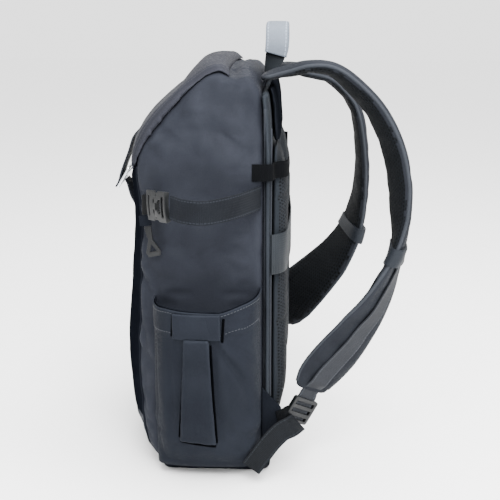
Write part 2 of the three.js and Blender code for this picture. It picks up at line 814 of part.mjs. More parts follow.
const shoulderColumns = ['reach', 'height', 'apart', 'turn'];
const rightRows = readTable(shoulderColumns, [
  [-0.05, 0.974, 0.51, 0], [0.17, 0.992, 0.53, 0], [0.342, 1.002, 0.56, 0], [0.5, 0.993, 0.59, 0.02],
  [0.658, 0.953, 0.62, 0.04], [0.808, 0.897, 0.66, 0.06], [0.918, 0.827, 0.69, 0.08], [0.979, 0.751, 0.71, 0.1],
  [1, 0.673, 0.72, 0.14], [0.99, 0.587, 0.73, 0.24], [0.935, 0.513, 0.74, 0.36], [0.84, 0.436, 0.75, 0.48],
  [0.7, 0.362, 0.76, 0.64], [0.56, 0.3, 0.77, 0.8], [0.43, 0.247, 0.78, 0.9], [0.35, 0.203, 0.79, 0.95],
]);
const leftRows = readTable(shoulderColumns, [
  [-0.03, 0.972, 0.51, 0], [0.15, 0.974, 0.53, 0], [0.325, 0.962, 0.55, 0], [0.49, 0.947, 0.57, 0.02],
  [0.618, 0.91, 0.61, 0.04], [0.706, 0.866, 0.65, 0.06], [0.754, 0.803, 0.68, 0.08], [0.779, 0.715, 0.7, 0.12],
  [0.775, 0.65, 0.71, 0.18], [0.755, 0.592, 0.72, 0.28], [0.693, 0.511, 0.74, 0.42], [0.576, 0.438, 0.77, 0.58],
  [0.47, 0.392, 0.81, 0.74], [0.35, 0.344, 0.88, 0.94], [0.2, 0.286, 0.99, 1.16], [0.05, 0.222, 1.11, 1.34],
]);

function shoulderStations(rows, side, steps, from, to) {
  const points = rows.map((row) => at(
    side * row.apart * halfWidth, backY + row.reach * shoulderReach, row.height * shoulderHeight,
  ));
  const turns = rows.map((row, k) => ({ share: k / (rows.length - 1), turn: row.turn }));
  const twist = (share) => side * lookUp(turns, 'share', 'turn', share);
  return rail(points, X, steps, { from, to, twist });
}

function taperedWidth(share) {
  const rows = [
    { s: 0, w: 0.8 }, { s: 0.12, w: 0.95 }, { s: 0.3, w: 1 }, { s: 0.6, w: 1 }, { s: 0.85, w: 1 }, { s: 1, w: 0.76 },
  ];
  return shoulderWidth * lookUp(rows, 's', 'w', share);
}

function shoulderStrap(rows, side) {
  const thickness = (share) => shoulderThickness * Math.min(1, 0.6 + 4 * Math.min(share, 1 - share));
  return seatOnBag(ribbon(shoulderStations(rows, side, 36, 0, 1), padSection, taperedWidth, thickness));
}

function strapWebbing(rows, side) {
  const lift = shoulderThickness / 2 + clearance * 2.6 + webbingThickness / 2;
  return ribbon(shoulderStations(rows, side, 18, 0.5, 1), flatSection, adjusterWebbing, webbingThickness, lift);
}

function keeper(rows, side) {
  const stations = shoulderStations(rows, side, 2, 0.6, 0.635);
  const wide = (extra) => (share) => taperedWidth(share) + extra;
  const lift = (webbingThickness + clearance) / 2;
  const high = shoulderThickness + webbingThickness + clearance * 2.6;
  const outer = toSolid(ribbon(stations, flatSection, wide(6), high + 6, lift));
  const longer = shoulderStations(rows, side, 2, 0.585, 0.65);
  const inner = toSolid(ribbon(longer, flatSection, wide(2), high + 3, lift));
  return toGeometry(outer.subtract(inner));
}

// Lower adjusters, drawn on the right and mirrored for the left. The left set lies against the bag's side.

const lockLength = 30;
const lockWidth = 36;
const lockThickness = 5;
const lowerSets = {
  right: {
    top: at(0.8 * halfWidth, backY + 0.34 * shoulderReach, 0.185 * shoulderHeight),
    along: at(0.12, -0.5, -0.86).normalize(),
    turn: rightRows[rightRows.length - 1].turn,
    tip: at(halfWidth - 6, panelFace + 12, 66),
    slant: 5,
    root: 0.8,
    anchor: [[0, 1.9, 0], [-7, 8, -0.5]],
    tail: [[11, 5.5, 5], [29, -1.5, 7], [35, -12, 3.5], [42, -24.5, -7.5], [48.4, -45, -34.5]],
    end: [4, -2, -9],
  },
  left: {
    top: at(1.125 * halfWidth, backY - 1, 0.195 * shoulderHeight),
    along: at(0.05, -0.22, -0.97).normalize(),
    turn: leftRows[leftRows.length - 1].turn,
    tip: at(halfWidth - 2, panelFace + 3, 66),
    slant: 2,
    root: 4,
    anchor: [[4.1, -1.6, -6], [8, -7.5, -10], [13, -13, -16]],
    tail: [[3, 1.5, -1], [4.6, -4, -18], [6, -8, -32], [6.6, -12, -40]],
    end: [-0.4, -3, -4],
  },
};

function lockSide(set) {
  const flat = X.clone().addScaledVector(set.along, -X.dot(set.along)).normalize();
  const out = flat.clone().cross(set.along).normalize();
  return flat.multiplyScalar(Math.cos(set.turn)).addScaledVector(out, -Math.sin(set.turn));
}

function lockMiddle(set) {
  return set.top.clone().addScaledVector(set.along, lockLength / 2 + 2);
}

function lockEnd(set) {
  return set.top.clone().addScaledVector(set.along, lockLength + 3);
}

function ladderLock(set) {
  const shape = roundedOutline(lockWidth, lockLength, 3);
  const [wide, high] = [lockWidth * 0.78, lockLength * 0.16];
  shape.holes.push(slot(wide, high, 0, lockLength * 0.28));
  shape.holes.push(slot(wide, high, 0, -lockLength * 0.02));
  shape.holes.push(slot(wide, high * 0.8, 0, -lockLength * 0.32));
  return mergeVertices(plate(shape, lockThickness, lockMiddle(set), lockSide(set), set.along.clone().negate()));
}

function wing(set) {
  const near = backY - set.root;
  const outlineAt = (x) => [
    at(x, near, set.tip.z + 38),
    at(x, near, set.tip.z - 30),
    at(x - set.slant, set.tip.y, set.tip.z - 13),
    at(x - set.slant, set.tip.y, set.tip.z + 13),
  ];
  const solid = toSolid(loft([outlineAt(halfWidth - 1.4), outlineAt(halfWidth + 1.6)]));
  const panelRoom = block(at(0, 0, 0), at(halfWidth - 1.7, panelFace + clearance, panelTop));
  return toGeometry(solid.subtract(bagSeat).subtract(panelRoom));
}

function lockRoom(set) {
  const shape = roundedOutline(lockWidth + 1, lockLength + 1, 3);
  return toSolid(plate(shape, lockThickness + 1, lockMiddle(set), lockSide(set), set.along.clone().negate()));
}

function anchorWebbing(set) {
  const path = [
    ...set.anchor.map(([x, y, z]) => set.tip.clone().add(at(x, y, z))),
    lockEnd(set).add(at(...set.end)),
  ];
  const band = ribbon(rail(path, Z, 8), flatSection, adjusterWebbing * 0.9, webbingThickness);
  return toGeometry(toSolid(band).subtract(lockRoom(set)));
}

function looseTail(set) {
  const path = set.tail.map(([x, y, z]) => lockEnd(set).add(at(x, y, z)));
  const band = ribbon(rail(path, at(0, 0.75, -0.66), 14), flatSection, adjusterWebbing * 0.92, webbingThickness);
  return toGeometry(toSolid(band).subtract(lockRoom(set)));
}

addNode('body_shell', bodyShell(), bagCloth());
addNode('flap', flap(), bagCloth());
addNode('base_panel', basePanel(), darkCloth());
addNode('back_panel', backPanel(), darkCloth());
addNode('back_pad_right', backPad(1), spacerMesh());
addNode('back_pad_left', backPad(-1), spacerMesh());
addNode('yoke', yoke(), darkCloth());
addNode('trolley_band', trolleyBand(), webbing());
addNode('side_band_right', sideBand(), blackWebbing());
addNode('side_band_left', mirrored(sideBand()), blackWebbing());
addNode('side_pocket', sidePocket(), pocketCloth());
addNode('pocket_binding', pocketBinding(), darkCloth());
addNode('pocket_crossbar', pocketCrossbar(), pocketCloth());
addNode('pocket_sleeve', pocketSleeve(), pocketCloth());
addNode('tripod_strap', tripodStrap(), webbing());
addNode('buckle_frame', buckleFrame(), mouldedPlastic());
addNode('buckle_tongue', buckleTongue(), mouldedPlastic());
addNode('buckle_webbing', buckleWebbing(), webbing());
addNode('strap_tail', strapTail(), webbing());
addNode('tri_glide', triGlide(), mouldedPlastic());
addNode('closure_tab', closureTab(), webbing());
addNode('closure_hook', closureHook(), brightMetal());
addNode('closure_webbing', closureWebbing(), webbing());
addNode('closure_patch', closurePatch(), webbing());
addNode('handle_webbing', handleWebbing(), blackWebbing());
addNode('handle_grip', handleGrip(), gripCloth());
[['right', rightRows, 1], ['left', leftRows, -1]].forEach(([name, rows, side]) => {
  addNode(`shoulder_strap_${name}`, shoulderStrap(rows, side), bagCloth());
  addNode(`strap_webbing_${name}`, strapWebbing(rows, side), webbing());
  addNode(`keeper_${name}`, keeper(rows, side), webbing());
});
Object.entries(lowerSets).forEach(([name, set]) => {
  const place = name === 'right' ? (geometry) => geometry : mirrored;
  addNode(`ladder_lock_${name}`, place(ladderLock(set)), mouldedPlastic());
  addNode(`wing_${name}`, place(wing(set)), darkCloth());
  addNode(`anchor_webbing_${name}`, place(anchorWebbing(set)), blackWebbing());
  addNode(`loose_tail_${name}`, place(looseTail(set)), webbing());
});

export default group;
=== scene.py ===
import math

import bmesh
import bpy
from mathutils import Matrix, Vector, noise
from mathutils.bvhtree import BVHTree


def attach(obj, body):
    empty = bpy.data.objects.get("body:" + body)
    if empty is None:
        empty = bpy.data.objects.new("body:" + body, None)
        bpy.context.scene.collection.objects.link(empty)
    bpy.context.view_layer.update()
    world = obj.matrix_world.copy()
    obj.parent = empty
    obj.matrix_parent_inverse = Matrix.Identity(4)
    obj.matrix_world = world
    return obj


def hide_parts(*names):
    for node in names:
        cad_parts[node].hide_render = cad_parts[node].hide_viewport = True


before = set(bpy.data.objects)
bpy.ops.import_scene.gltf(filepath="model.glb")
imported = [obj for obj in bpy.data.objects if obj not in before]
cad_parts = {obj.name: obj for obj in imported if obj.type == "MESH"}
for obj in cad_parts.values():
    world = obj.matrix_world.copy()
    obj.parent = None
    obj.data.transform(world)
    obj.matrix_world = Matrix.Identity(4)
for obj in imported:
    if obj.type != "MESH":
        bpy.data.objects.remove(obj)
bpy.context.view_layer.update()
mm = 0.001

# Metres, Z up. -Y is the outer face, +Y the wearer's side, +X the side with the pocket.

# --- camera and studio

studio = {
    "azimuth": 93.0, "elevation": 14.5, "distance": 1.25, "fov": 26.75, "target": (0, 0.039, 0.225),
    "floorColour": (0.97, 0.97, 0.97, 1), "worldStrength": 2.3,
    "lights": [  # name, place, size, watts
        ("keyLight", (0.98, 0.15, 1.2), 0.8, 58),
        ("topLight", (0.0, 0.35, 1.75), 1.2, 50),
        ("backLight", (0.8, 1.7, 0.9), 1.0, 26),
    ],
}


def aimAt(obj, target):
    obj.rotation_euler = (Vector(target) - obj.location).to_track_quat("-Z", "Y").to_euler()


def makeStudio(s):
    a, e = math.radians(s["azimuth"]), math.radians(s["elevation"])
    back = Vector((math.sin(a) * math.cos(e), -math.cos(a) * math.cos(e), math.sin(e)))
    data = bpy.data.cameras.new("photoCamera")
    data.angle = math.radians(s["fov"])
    camera = bpy.data.objects.new("photoCamera", data)
    bpy.context.collection.objects.link(camera)
    camera.location = Vector(s["target"]) + back * s["distance"]
    aimAt(camera, s["target"])
    bpy.context.scene.camera = camera
    for name, place, size, watts in s["lights"]:
        light = bpy.data.lights.new(name, "AREA")
        light.size = size
        light.energy = watts
        lamp = bpy.data.objects.new(name, light)
        bpy.context.collection.objects.link(lamp)
        lamp.location = place
        aimAt(lamp, (0, 0, 0.2))
    world = bpy.data.worlds.new("studioWorld")
    bpy.context.scene.world = world
    world.use_nodes = True
    world.node_tree.nodes["Background"].inputs["Color"].default_value = (1, 1, 1, 1)
    world.node_tree.nodes["Background"].inputs["Strength"].default_value = s["worldStrength"]
    bm = bmesh.new()
    bmesh.ops.create_grid(bm, x_segments=1, y_segments=1, size=6)
    mesh = bpy.data.meshes.new("floor")
    bm.to_mesh(mesh)
    bm.free()
    floor = bpy.data.objects.new("floor", mesh)
    bpy.context.collection.objects.link(floor)
    paint = bpy.data.materials.new("floorPaint")
    paint.use_nodes = True
    paint.node_tree.nodes["Principled BSDF"].inputs["Base Color"].default_value = s["floorColour"]
    paint.node_tree.nodes["Principled BSDF"].inputs["Roughness"].default_value = 0.9
    mesh.materials.append(paint)


makeStudio(studio)
print("studio ready")

# --- materials

finishes = {}


class Shader:
    def __init__(self, name):
        self.material = bpy.data.materials.new(name)
        self.material.use_nodes = True
        self.tree = self.material.node_tree
        self.surface = self.tree.nodes["Principled BSDF"]
        finishes[name] = self.material

    def add(self, kind, settings=None, **inputs):
        made = self.tree.nodes.new("ShaderNode" + kind)
        for key, value in (settings or {}).items():
            setattr(made, key, value)
        for key, value in inputs.items():
            where = made.inputs[int(key[1:])] if key[0] == "i" and key[1:].isdigit() else made.inputs[key]
            if isinstance(value, bpy.types.NodeSocket):
                self.tree.links.new(value, where)
            else:
                where.default_value = value
        return made

    def maths(self, operation, a, b=0.0, c=0.0):
        return self.add("Math", {"operation": operation}, i0=a, i1=b, i2=c).outputs[0]

    def mixColour(self, factor, a, b):
        made = self.add("Mix", {"data_type": "RGBA"}, i0=factor)
        for where, value in ((6, a), (7, b)):
            if isinstance(value, bpy.types.NodeSocket):
                self.tree.links.new(value, made.inputs[where])
            else:
                made.inputs[where].default_value = (*value, 1)
        return made.outputs[2]

    def objectSpace(self):
        return self.add("TexCoord").outputs["Object"]

    def noise(self, vector, scale, detail=3.0, rough=0.55):
        made = self.add("TexNoise", None, Vector=vector, Scale=scale, Detail=detail, Roughness=rough)
        return made.outputs[0]

    def ramp(self, value, low, high):
        made = self.add("MapRange", None, i0=value, i1=low, i2=high)
        return made.outputs[0]

    def attribute(self, name):
        return self.add("Attribute", {"attribute_name": name}).outputs["Fac"]

    def link(self, socket, key):
        self.tree.links.new(socket, self.surface.inputs[key])

    def bump(self, height, strength, distance):
        made = self.add("Bump", None, Strength=strength, Distance=distance, Height=height)
        self.link(made.outputs[0], "Normal")

    def fixed(self, **values):
        for key, value in values.items():
            self.surface.inputs[key.replace("_", " ")].default_value = value


def stitchMask(sh, across, along, offset, pitch=3.4 * mm, width=0.45 * mm):
    off = sh.maths("ABSOLUTE", sh.maths("SUBTRACT", sh.maths("ABSOLUTE", across), offset))
    line = sh.maths("LESS_THAN", off, width)
    beat = sh.maths("FRACT", sh.maths("DIVIDE", along, pitch))
    return sh.maths("MULTIPLY", line, sh.maths("LESS_THAN", beat, 0.72))


clothLook = {"rough": 0.86, "patches": 14.0, "grain": 900.0, "bump": 0.35, "bumpDepth": 0.25 * mm}
webbingLook = {"columns": 2.6 * mm, "patches": 30.0, "grain": 1100.0, "bump": 0.5, "bumpDepth": 0.3 * mm}


def wovenCloth(name, light, dark, pitch=1.1 * mm, gloss=0.02):
    sh = Shader(name)
    where = sh.objectSpace()
    apart = sh.add("SeparateXYZ", None, Vector=where)
    turns = 2 * math.pi / pitch
    warp = sh.maths("SINE", sh.maths("MULTIPLY", sh.maths("ADD", apart.outputs[0], apart.outputs[1]), turns))
    weft = sh.maths("SINE", sh.maths("MULTIPLY", apart.outputs[2], turns))
    weave = sh.maths("MULTIPLY", warp, weft)
    slub = sh.noise(sh.add("Mapping", None, Vector=where, Scale=(240, 240, 900)).outputs[0], 1.0, 2.0)
    patches = sh.noise(where, clothLook["patches"], 4.0)
    grain = sh.noise(where, clothLook["grain"], 2.0, 0.7)
    tone = sh.maths("ADD", sh.maths("MULTIPLY", patches, 0.55), sh.maths("MULTIPLY", grain, 0.35))
    tone = sh.maths("ADD", tone, sh.maths("MULTIPLY", weave, 0.07))
    rub = sh.ramp(sh.add("NewGeometry").outputs["Pointiness"], 0.5, 0.57)
    tone = sh.maths("ADD", tone, sh.maths("MULTIPLY", rub, 0.25))
    sh.link(sh.mixColour(sh.ramp(tone, 0.22, 0.78), dark, light), "Base Color")
    sh.link(sh.ramp(slub, clothLook["rough"] - 1.3, clothLook["rough"] + 0.35), "Roughness")
    sh.fixed(Specular_IOR_Level=gloss)
    height = sh.maths("ADD", sh.maths("MULTIPLY", weave, 0.5), slub)
    sh.bump(height, clothLook["bump"], clothLook["bumpDepth"])


def ribbedWebbing(name, light, dark, rib=1.7 * mm, rough=0.75, stitched=None, gloss=0.14):
    sh = Shader(name)
    across, along = sh.attribute("across"), sh.attribute("along")
    where = sh.objectSpace()
    ribs = sh.maths("SINE", sh.maths("MULTIPLY", along, 2 * math.pi / rib))
    columns = sh.maths("SINE", sh.maths("MULTIPLY", across, 2 * math.pi / webbingLook["columns"]))
    checks = sh.maths("MULTIPLY", sh.maths("MULTIPLY", ribs, columns), 0.5)
    weave = sh.maths("ADD", sh.maths("MULTIPLY", ribs, 0.6), checks)
    patches = sh.noise(where, webbingLook["patches"], 3.0)
    grain = sh.noise(where, webbingLook["grain"], 2.0, 0.7)
    tone = sh.maths("ADD", sh.maths("MULTIPLY", patches, 0.4), sh.maths("MULTIPLY", grain, 0.4))
    tone = sh.maths("ADD", tone, sh.maths("MULTIPLY", weave, 0.1))
    colour = sh.mixColour(sh.ramp(tone, 0.2, 0.75), dark, light)
    height = weave
    if stitched:
        mask = stitchMask(sh, across, along, stitched)
        colour = sh.mixColour(mask, colour, tuple(min(1, 1.5 * c + 0.002) for c in light))
        height = sh.maths("ADD", height, sh.maths("MULTIPLY", mask, 1.4))
    sh.link(colour, "Base Color")
    sh.fixed(Roughness=rough, Specular_IOR_Level=gloss)
    sh.bump(height, webbingLook["bump"], webbingLook["bumpDepth"])


def spacerMesh(name, light, dark, pitch=3.3 * mm, onPath=True):
    sh = Shader(name)
    if onPath:
        u, v = sh.attribute("across"), sh.attribute("along")
    else:
        apart = sh.add("SeparateXYZ", None, Vector=sh.objectSpace())
        u, v = apart.outputs[0], apart.outputs[2]
    k = 2 * math.pi / pitch
    first = sh.maths("COSINE", sh.maths("MULTIPLY", u, k))
    slanted = sh.maths("ADD", sh.maths("MULTIPLY", u, -0.5 * k), sh.maths("MULTIPLY", v, 0.866 * k))
    other = sh.maths("ADD", sh.maths("MULTIPLY", u, -0.5 * k), sh.maths("MULTIPLY", v, -0.866 * k))
    cells = sh.maths("ADD", first, sh.maths("ADD", sh.maths("COSINE", slanted), sh.maths("COSINE", other)))
    holes = sh.ramp(cells, 0.2, 1.5)
    grain = sh.noise(sh.objectSpace(), 1200.0, 2.0, 0.7)
    knit = sh.mixColour(sh.ramp(grain, 0.3, 0.7), tuple(0.8 * c for c in light), light)
    sh.link(sh.mixColour(holes, knit, dark), "Base Color")
    sh.fixed(Roughness=0.88, Specular_IOR_Level=0.08)
    sh.bump(sh.maths("SUBTRACT", sh.maths("MULTIPLY", grain, 0.2), holes), 0.8, 0.9 * mm)


def mouldedPlastic(name, light, dark, rough=0.42):
    sh = Shader(name)
    where = sh.objectSpace()
    grain = sh.noise(where, 1500.0, 2.0, 0.6)
    cloud = sh.noise(where, 60.0, 3.0)
    rub = sh.ramp(sh.add("NewGeometry").outputs["Pointiness"], 0.5, 0.6)
    tone = sh.maths("ADD", sh.maths("MULTIPLY", cloud, 0.6), sh.maths("MULTIPLY", rub, 0.5))
    sh.link(sh.mixColour(sh.ramp(tone, 0.2, 0.9), dark, light), "Base Color")
    sh.link(sh.ramp(sh.maths("ADD", cloud, sh.maths("MULTIPLY", grain, 0.3)), 0.65 - rough * 2.4, 1.9), "Roughness")
    sh.fixed(Specular_IOR_Level=0.22)
    sh.bump(grain, 0.12, 0.15 * mm)


def brushedMetal(name, light, dark):
    sh = Shader(name)
    where = sh.add("Mapping", None, Vector=sh.objectSpace(), Scale=(60, 900, 900)).outputs[0]
    lines = sh.noise(where, 1.0, 4.0)
    sh.link(sh.mixColour(lines, dark, light), "Base Color")
    sh.link(sh.ramp(lines, -0.5, 3.0), "Roughness")
    sh.fixed(Metallic=1.0)
    sh.bump(lines, 0.1, 0.1 * mm)


wovenCloth("bagCloth", (0.0184, 0.0202, 0.0261), (0.0077, 0.0086, 0.0117))
wovenCloth("flapCloth", (0.0193, 0.0203, 0.0258), (0.0087, 0.0091, 0.0123), gloss=0.03)
wovenCloth("pocketCloth", (0.0119, 0.0137, 0.0181), (0.0048, 0.0056, 0.0078), 1.0 * mm, gloss=0.01)
# painted shade: a darker copy of the bag cloth for the front panel, standing for the shade on the side turned from
# the light
wovenCloth("shadedFrontCloth", (0.0042, 0.0050, 0.0072), (0.0016, 0.0019, 0.0029), gloss=0.0)
wovenCloth("darkCloth", (0.0060, 0.0069, 0.0093), (0.0018, 0.0021, 0.0030), 1.3 * mm, gloss=0.0)
wovenCloth("panelCloth", (0.0158, 0.0185, 0.0225), (0.0067, 0.0079, 0.0101), 1.3 * mm, gloss=0.01)
wovenCloth("strapCloth", (0.0150, 0.0165, 0.0205), (0.0062, 0.0070, 0.0090), 1.0 * mm)
wovenCloth("bindingCloth", (0.0180, 0.0200, 0.0245), (0.0080, 0.0090, 0.0112), 0.9 * mm)
ribbedWebbing("gripCloth", (0.1365, 0.1599, 0.1950), (0.0819, 0.0975, 0.1209), 0.9 * mm, stitched=9.8 * mm, gloss=0.3)
# painted shade: near-black cloth for the pocket's inside and for tubes in its slits and round the sleeve, where there
# is only shade
wovenCloth("paintedShadeCloth", (0.0010, 0.0011, 0.0014), (0.0004, 0.0004, 0.0006), gloss=0.0)
# painted highlight: a lighter copy of the binding cloth for the shoulder-strap edges, standing for the light they
# catch
wovenCloth("bindingHighlightCloth", (0.0240, 0.0265, 0.0315), (0.0112, 0.0125, 0.0150), 0.9 * mm)
ribbedWebbing("strapWebbing", (0.0165, 0.0185, 0.0230), (0.0060, 0.0068, 0.0088), stitched=10.6 * mm)
ribbedWebbing("sideWebbing", (0.0070, 0.0082, 0.0110), (0.0026, 0.0031, 0.0042), stitched=10.6 * mm, gloss=0.06)
ribbedWebbing("blackWebbing", (0.0022, 0.0025, 0.0032), (0.0007, 0.0008, 0.0011), gloss=0.03)
ribbedWebbing("handleBand", (0.0100, 0.0125, 0.0155), (0.0035, 0.0045, 0.0058), gloss=0.1)
ribbedWebbing("tailWebbing", (0.0047, 0.0057, 0.0074), (0.0018, 0.0022, 0.0029), stitched=9.3 * mm, gloss=0.08)
ribbedWebbing("bandWebbing", (0.0120, 0.0150, 0.0189), (0.0051, 0.0064, 0.0083), 2.2 * mm, rough=0.6)
spacerMesh("strapMesh", (0.0040, 0.0050, 0.0064), (0.0003, 0.0004, 0.0005), 3.8 * mm)
spacerMesh("padMesh", (0.0096, 0.0112, 0.0140), (0.0008, 0.0010, 0.0013), onPath=False)
mouldedPlastic("buckleGrey", (0.0029, 0.0036, 0.0045), (0.0009, 0.0013, 0.0016))
ribbedWebbing("keeperBand", (0.0097, 0.0124, 0.0169), (0.0049, 0.0062, 0.0086), 2.2 * mm, rough=0.65)
brushedMetal("hookMetal", (0.85, 0.87, 0.89), (0.55, 0.57, 0.60))
mouldedPlastic("threadGrey", (0.0205, 0.0229, 0.0279), (0.0118, 0.0133, 0.0164), 0.8)
print("materials ready", len(finishes))

# --- small modelling helpers


def finishMesh(bm, name, materials, smooth=True, sharp=None):
    mesh = bpy.data.meshes.new(name)
    bm.to_mesh(mesh)
    bm.free()
    obj = bpy.data.objects.new(name, mesh)
    bpy.context.collection.objects.link(obj)
    for m in materials:
        mesh.materials.append(finishes[m])
    if smooth:
        mesh.shade_smooth()
    if sharp:
        mesh.set_sharp_from_angle(angle=math.radians(sharp))
    return obj


def place(obj, slot, *nodes):
    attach(obj, "root")
    if nodes:
        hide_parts(*nodes)


def copyOf(node):
    bm = bmesh.new()
    bm.from_mesh(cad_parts[node].data)
    bmesh.ops.remove_doubles(bm, verts=bm.verts, dist=0.02 * mm)
    return bm


def addModifier(obj, kind, **settings):
    mod = obj.modifiers.new(kind.title(), kind)
    for key, value in settings.items():
        setattr(mod, key, value)


def applyAll(obj):
    bpy.context.view_layer.update()
    evaluated = obj.evaluated_get(bpy.context.evaluated_depsgraph_get())
    mesh = bpy.data.meshes.new_from_object(evaluated)
    old = obj.data
    obj.modifiers.clear()
    obj.data = mesh
    mesh.name = obj.name
    bpy.data.meshes.remove(old)
    return obj


def remeshed(bm, name, materials, voxel, smoothing=2):
    obj = finishMesh(bm, name, materials)
    addModifier(obj, "REMESH", mode="VOXEL", voxel_size=voxel, use_smooth_shade=True)
    applyAll(obj)
    bm = bmesh.new()
    bm.from_mesh(obj.data)
    for k in range(smoothing):
        bmesh.ops.smooth_vert(bm, verts=bm.verts, factor=0.5, use_axis_x=True, use_axis_y=True, use_axis_z=True)
    bm.to_mesh(obj.data)
    bm.free()
    obj.data.materials.clear()
    for m in materials:
        obj.data.materials.append(finishes[m])
    obj.data.shade_smooth()
    return obj


def subdivide(obj, levels=1):
    addModifier(obj, "SUBSURF", levels=levels, render_levels=levels)
    applyAll(obj)


def fade(low, high, value):
    t = min(1.0, max(0.0, (value - low) / (high - low)))
    return t * t * (3 - 2 * t)


def groove(distance, width):
    return math.exp(-((distance / width) ** 2))


def crease(spot):
    # soft hills with narrower valleys between them, from -1 to 1
    return 1.6 * abs(noise.noise(spot)) ** 0.8 - 0.55 + 0.35 * noise.noise(spot * 2.3)


def sculpt(obj, push):
    # push(place, normal) gives a move in metres along the normal
    mesh = obj.data
    moves = [v.normal * push(v.co, v.normal) for v in mesh.vertices]
    for v, move in zip(mesh.vertices, moves):
        v.co += move
    mesh.update()


def treeOf(obj):
    bm = bmesh.new()
    bm.from_mesh(obj.data)
    tree = BVHTree.FromBMesh(bm)
    bm.free()
    return tree


# --- straps: a section carried along a smooth path

webSection = [(-0.5, -0.2), (-0.485, -0.5), (0, -0.5), (0.485, -0.5), (0.5, -0.2),
              (0.5, 0.2), (0.485, 0.5), (0, 0.5), (-0.485, 0.5), (-0.5, 0.2)]


def smoothPath(points, steps, start=0.0, end=1.0):
    points = [Vector(p[:3]) for p in points]
    padded = [points[0] * 2 - points[1], *points, points[-1] * 2 - points[-2]]
    dense = []
    for k in range(1, len(padded) - 2):
        a, b, c, d = padded[k - 1:k + 3]
        for j in range(16):
            t = j / 16
            dense.append(0.5 * (2 * b + (c - a) * t + (2 * a - 5 * b + 4 * c - d) * t * t
                                + (3 * b - a - 3 * c + d) * t ** 3))
    dense.append(points[-1])
    lengths = [0.0]
    for a, b in zip(dense, dense[1:]):
        lengths.append(lengths[-1] + (b - a).length)
    made, k = [], 0
    for j in range(steps + 1):
        share = start + (end - start) * j / steps
        goal = share * lengths[-1]
        while k < len(lengths) - 2 and lengths[k + 1] < goal:
            k += 1
        t = (goal - lengths[k]) / max(1e-9, lengths[k + 1] - lengths[k])
        made.append((share, goal, dense[k].lerp(dense[k + 1], t), (dense[k + 1] - dense[k]).normalized()))
    return made


def stationsAlong(points, across, steps, start=0.0, end=1.0, turn=None):
    made = []
    for share, goal, spot, along in smoothPath(points, steps, start, end):
        side = Vector(across(share) if callable(across) else across)
        side = (side - along * side.dot(along)).normalized()
        out = side.cross(along).normalized()
        angle = turn(share) if turn else 0.0
        c, s = math.cos(angle), math.sin(angle)
        made.append({"share": share, "length": goal, "spot": spot, "along": along,
                     "side": side * c - out * s, "out": out * c + side * s})
    return made


def sizeAt(size, share):
    return size(share) if callable(size) else size


def sweep(stations, section, width, thickness, lift=0.0):
    bm = bmesh.new()
    acrossLayer = bm.verts.layers.float.new("across")
    alongLayer = bm.verts.layers.float.new("along")

    def spots(st):
        w, t, l = (sizeAt(x, st["share"]) for x in (width, thickness, lift))
        return [(st["spot"] + st["side"] * (a * w) + st["out"] * (b * t + l), a * w) for a, b in section]

    ring = []
    for p, a in spots(stations[0]):
        v = bm.verts.new(p)
        v[acrossLayer], v[alongLayer] = a, stations[0]["length"]
        ring.append(v)
    face = bm.faces.new(ring)
    for st in stations[1:]:
        grown = bmesh.ops.extrude_discrete_faces(bm, faces=[face])
        face = grown["faces"][0]
        for v, (p, a) in zip(face.verts, spots(st)):
            v.co = p
            v[acrossLayer], v[alongLayer] = a, st["length"]
    first = [e for e in bm.edges if e.is_boundary]
    bmesh.ops.holes_fill(bm, edges=first, sides=0)
    bmesh.ops.recalc_face_normals(bm, faces=bm.faces)
    return bm


def tube(name, points, radius, material, sides=8):
    path = bpy.data.curves.new(name, "CURVE")
    path.dimensions = "3D"
    path.bevel_depth = radius
    path.bevel_resolution = max(0, sides // 4 - 1)
    path.use_fill_caps = True
    spline = path.splines.new("POLY")
    spline.points.add(len(points) - 1)
    for knot, p in zip(spline.points, points):
        knot.co = (*p, 1)
    holder = bpy.data.objects.new(name + "Path", path)
    bpy.context.collection.objects.link(holder)
    mesh = bpy.data.meshes.new_from_object(holder)
    bpy.data.objects.remove(holder)
    bm = bmesh.new()
    bm.from_mesh(mesh)
    bpy.data.meshes.remove(mesh)
    bmesh.ops.remove_doubles(bm, verts=bm.verts, dist=0.01 * mm)
    bmesh.ops.recalc_face_normals(bm, faces=bm.faces)
    return finishMesh(bm, name, [material])


def stitchRow(bm, points, normals, pitch=3.6 * mm, size=(2.5 * mm, 0.75 * mm, 0.5 * mm)):
    # small thread bars along a line, one every pitch
    travelled, due = 0.0, pitch / 2
    for (a, b), n in zip(zip(points, points[1:]), normals):
        step = (b - a).length
        while due <= travelled + step and step > 0:
            spot = a.lerp(b, (due - travelled) / step)
            along = (b - a).normalized()
            out = (n - along * n.dot(along)).normalized()
            turn = Matrix((along, out.cross(along), out)).transposed().to_4x4()
            seat = Matrix.Translation(spot) @ turn @ Matrix.Diagonal((*size, 1))
            made = bmesh.ops.create_cube(bm, size=1.0, matrix=seat)
            top = [v for v in made["verts"] if (v.co - spot).dot(out) > 0]
            bmesh.ops.scale(bm, vec=(0.7, 0.7, 0.7), verts=top, space=Matrix.Translation(-spot))
            due += pitch
        travelled += step


def onSurface(tree, starts, direction, lift=0.0):
    spots, normals = [], []
    for p in starts:
        hit, normal, index, far = tree.ray_cast(Vector(p) - Vector(direction) * 0.3, Vector(direction))
        if hit is not None:
            spots.append(hit + normal * lift)
            normals.append(normal)
    return spots, normals


def line(a, b, count):
    a, b = Vector(a), Vector(b)
    return [a.lerp(b, k / count) for k in range(count + 1)]


def webbing(name, path, across, steps, width, thickness, finish, start=0.0, end=1.0, lift=0.0):
    stations = stationsAlong(path, across, steps, start, end)
    return finishMesh(sweep(stations, webSection, width, thickness, lift), name, [finish], sharp=50)


# --- cloth runs, all in one pass

clothRun = {"frames": 20, "quality": 4, "mass": 0.25, "stretch": 12, "shear": 4, "bending": 0.4}
clothJobs = []


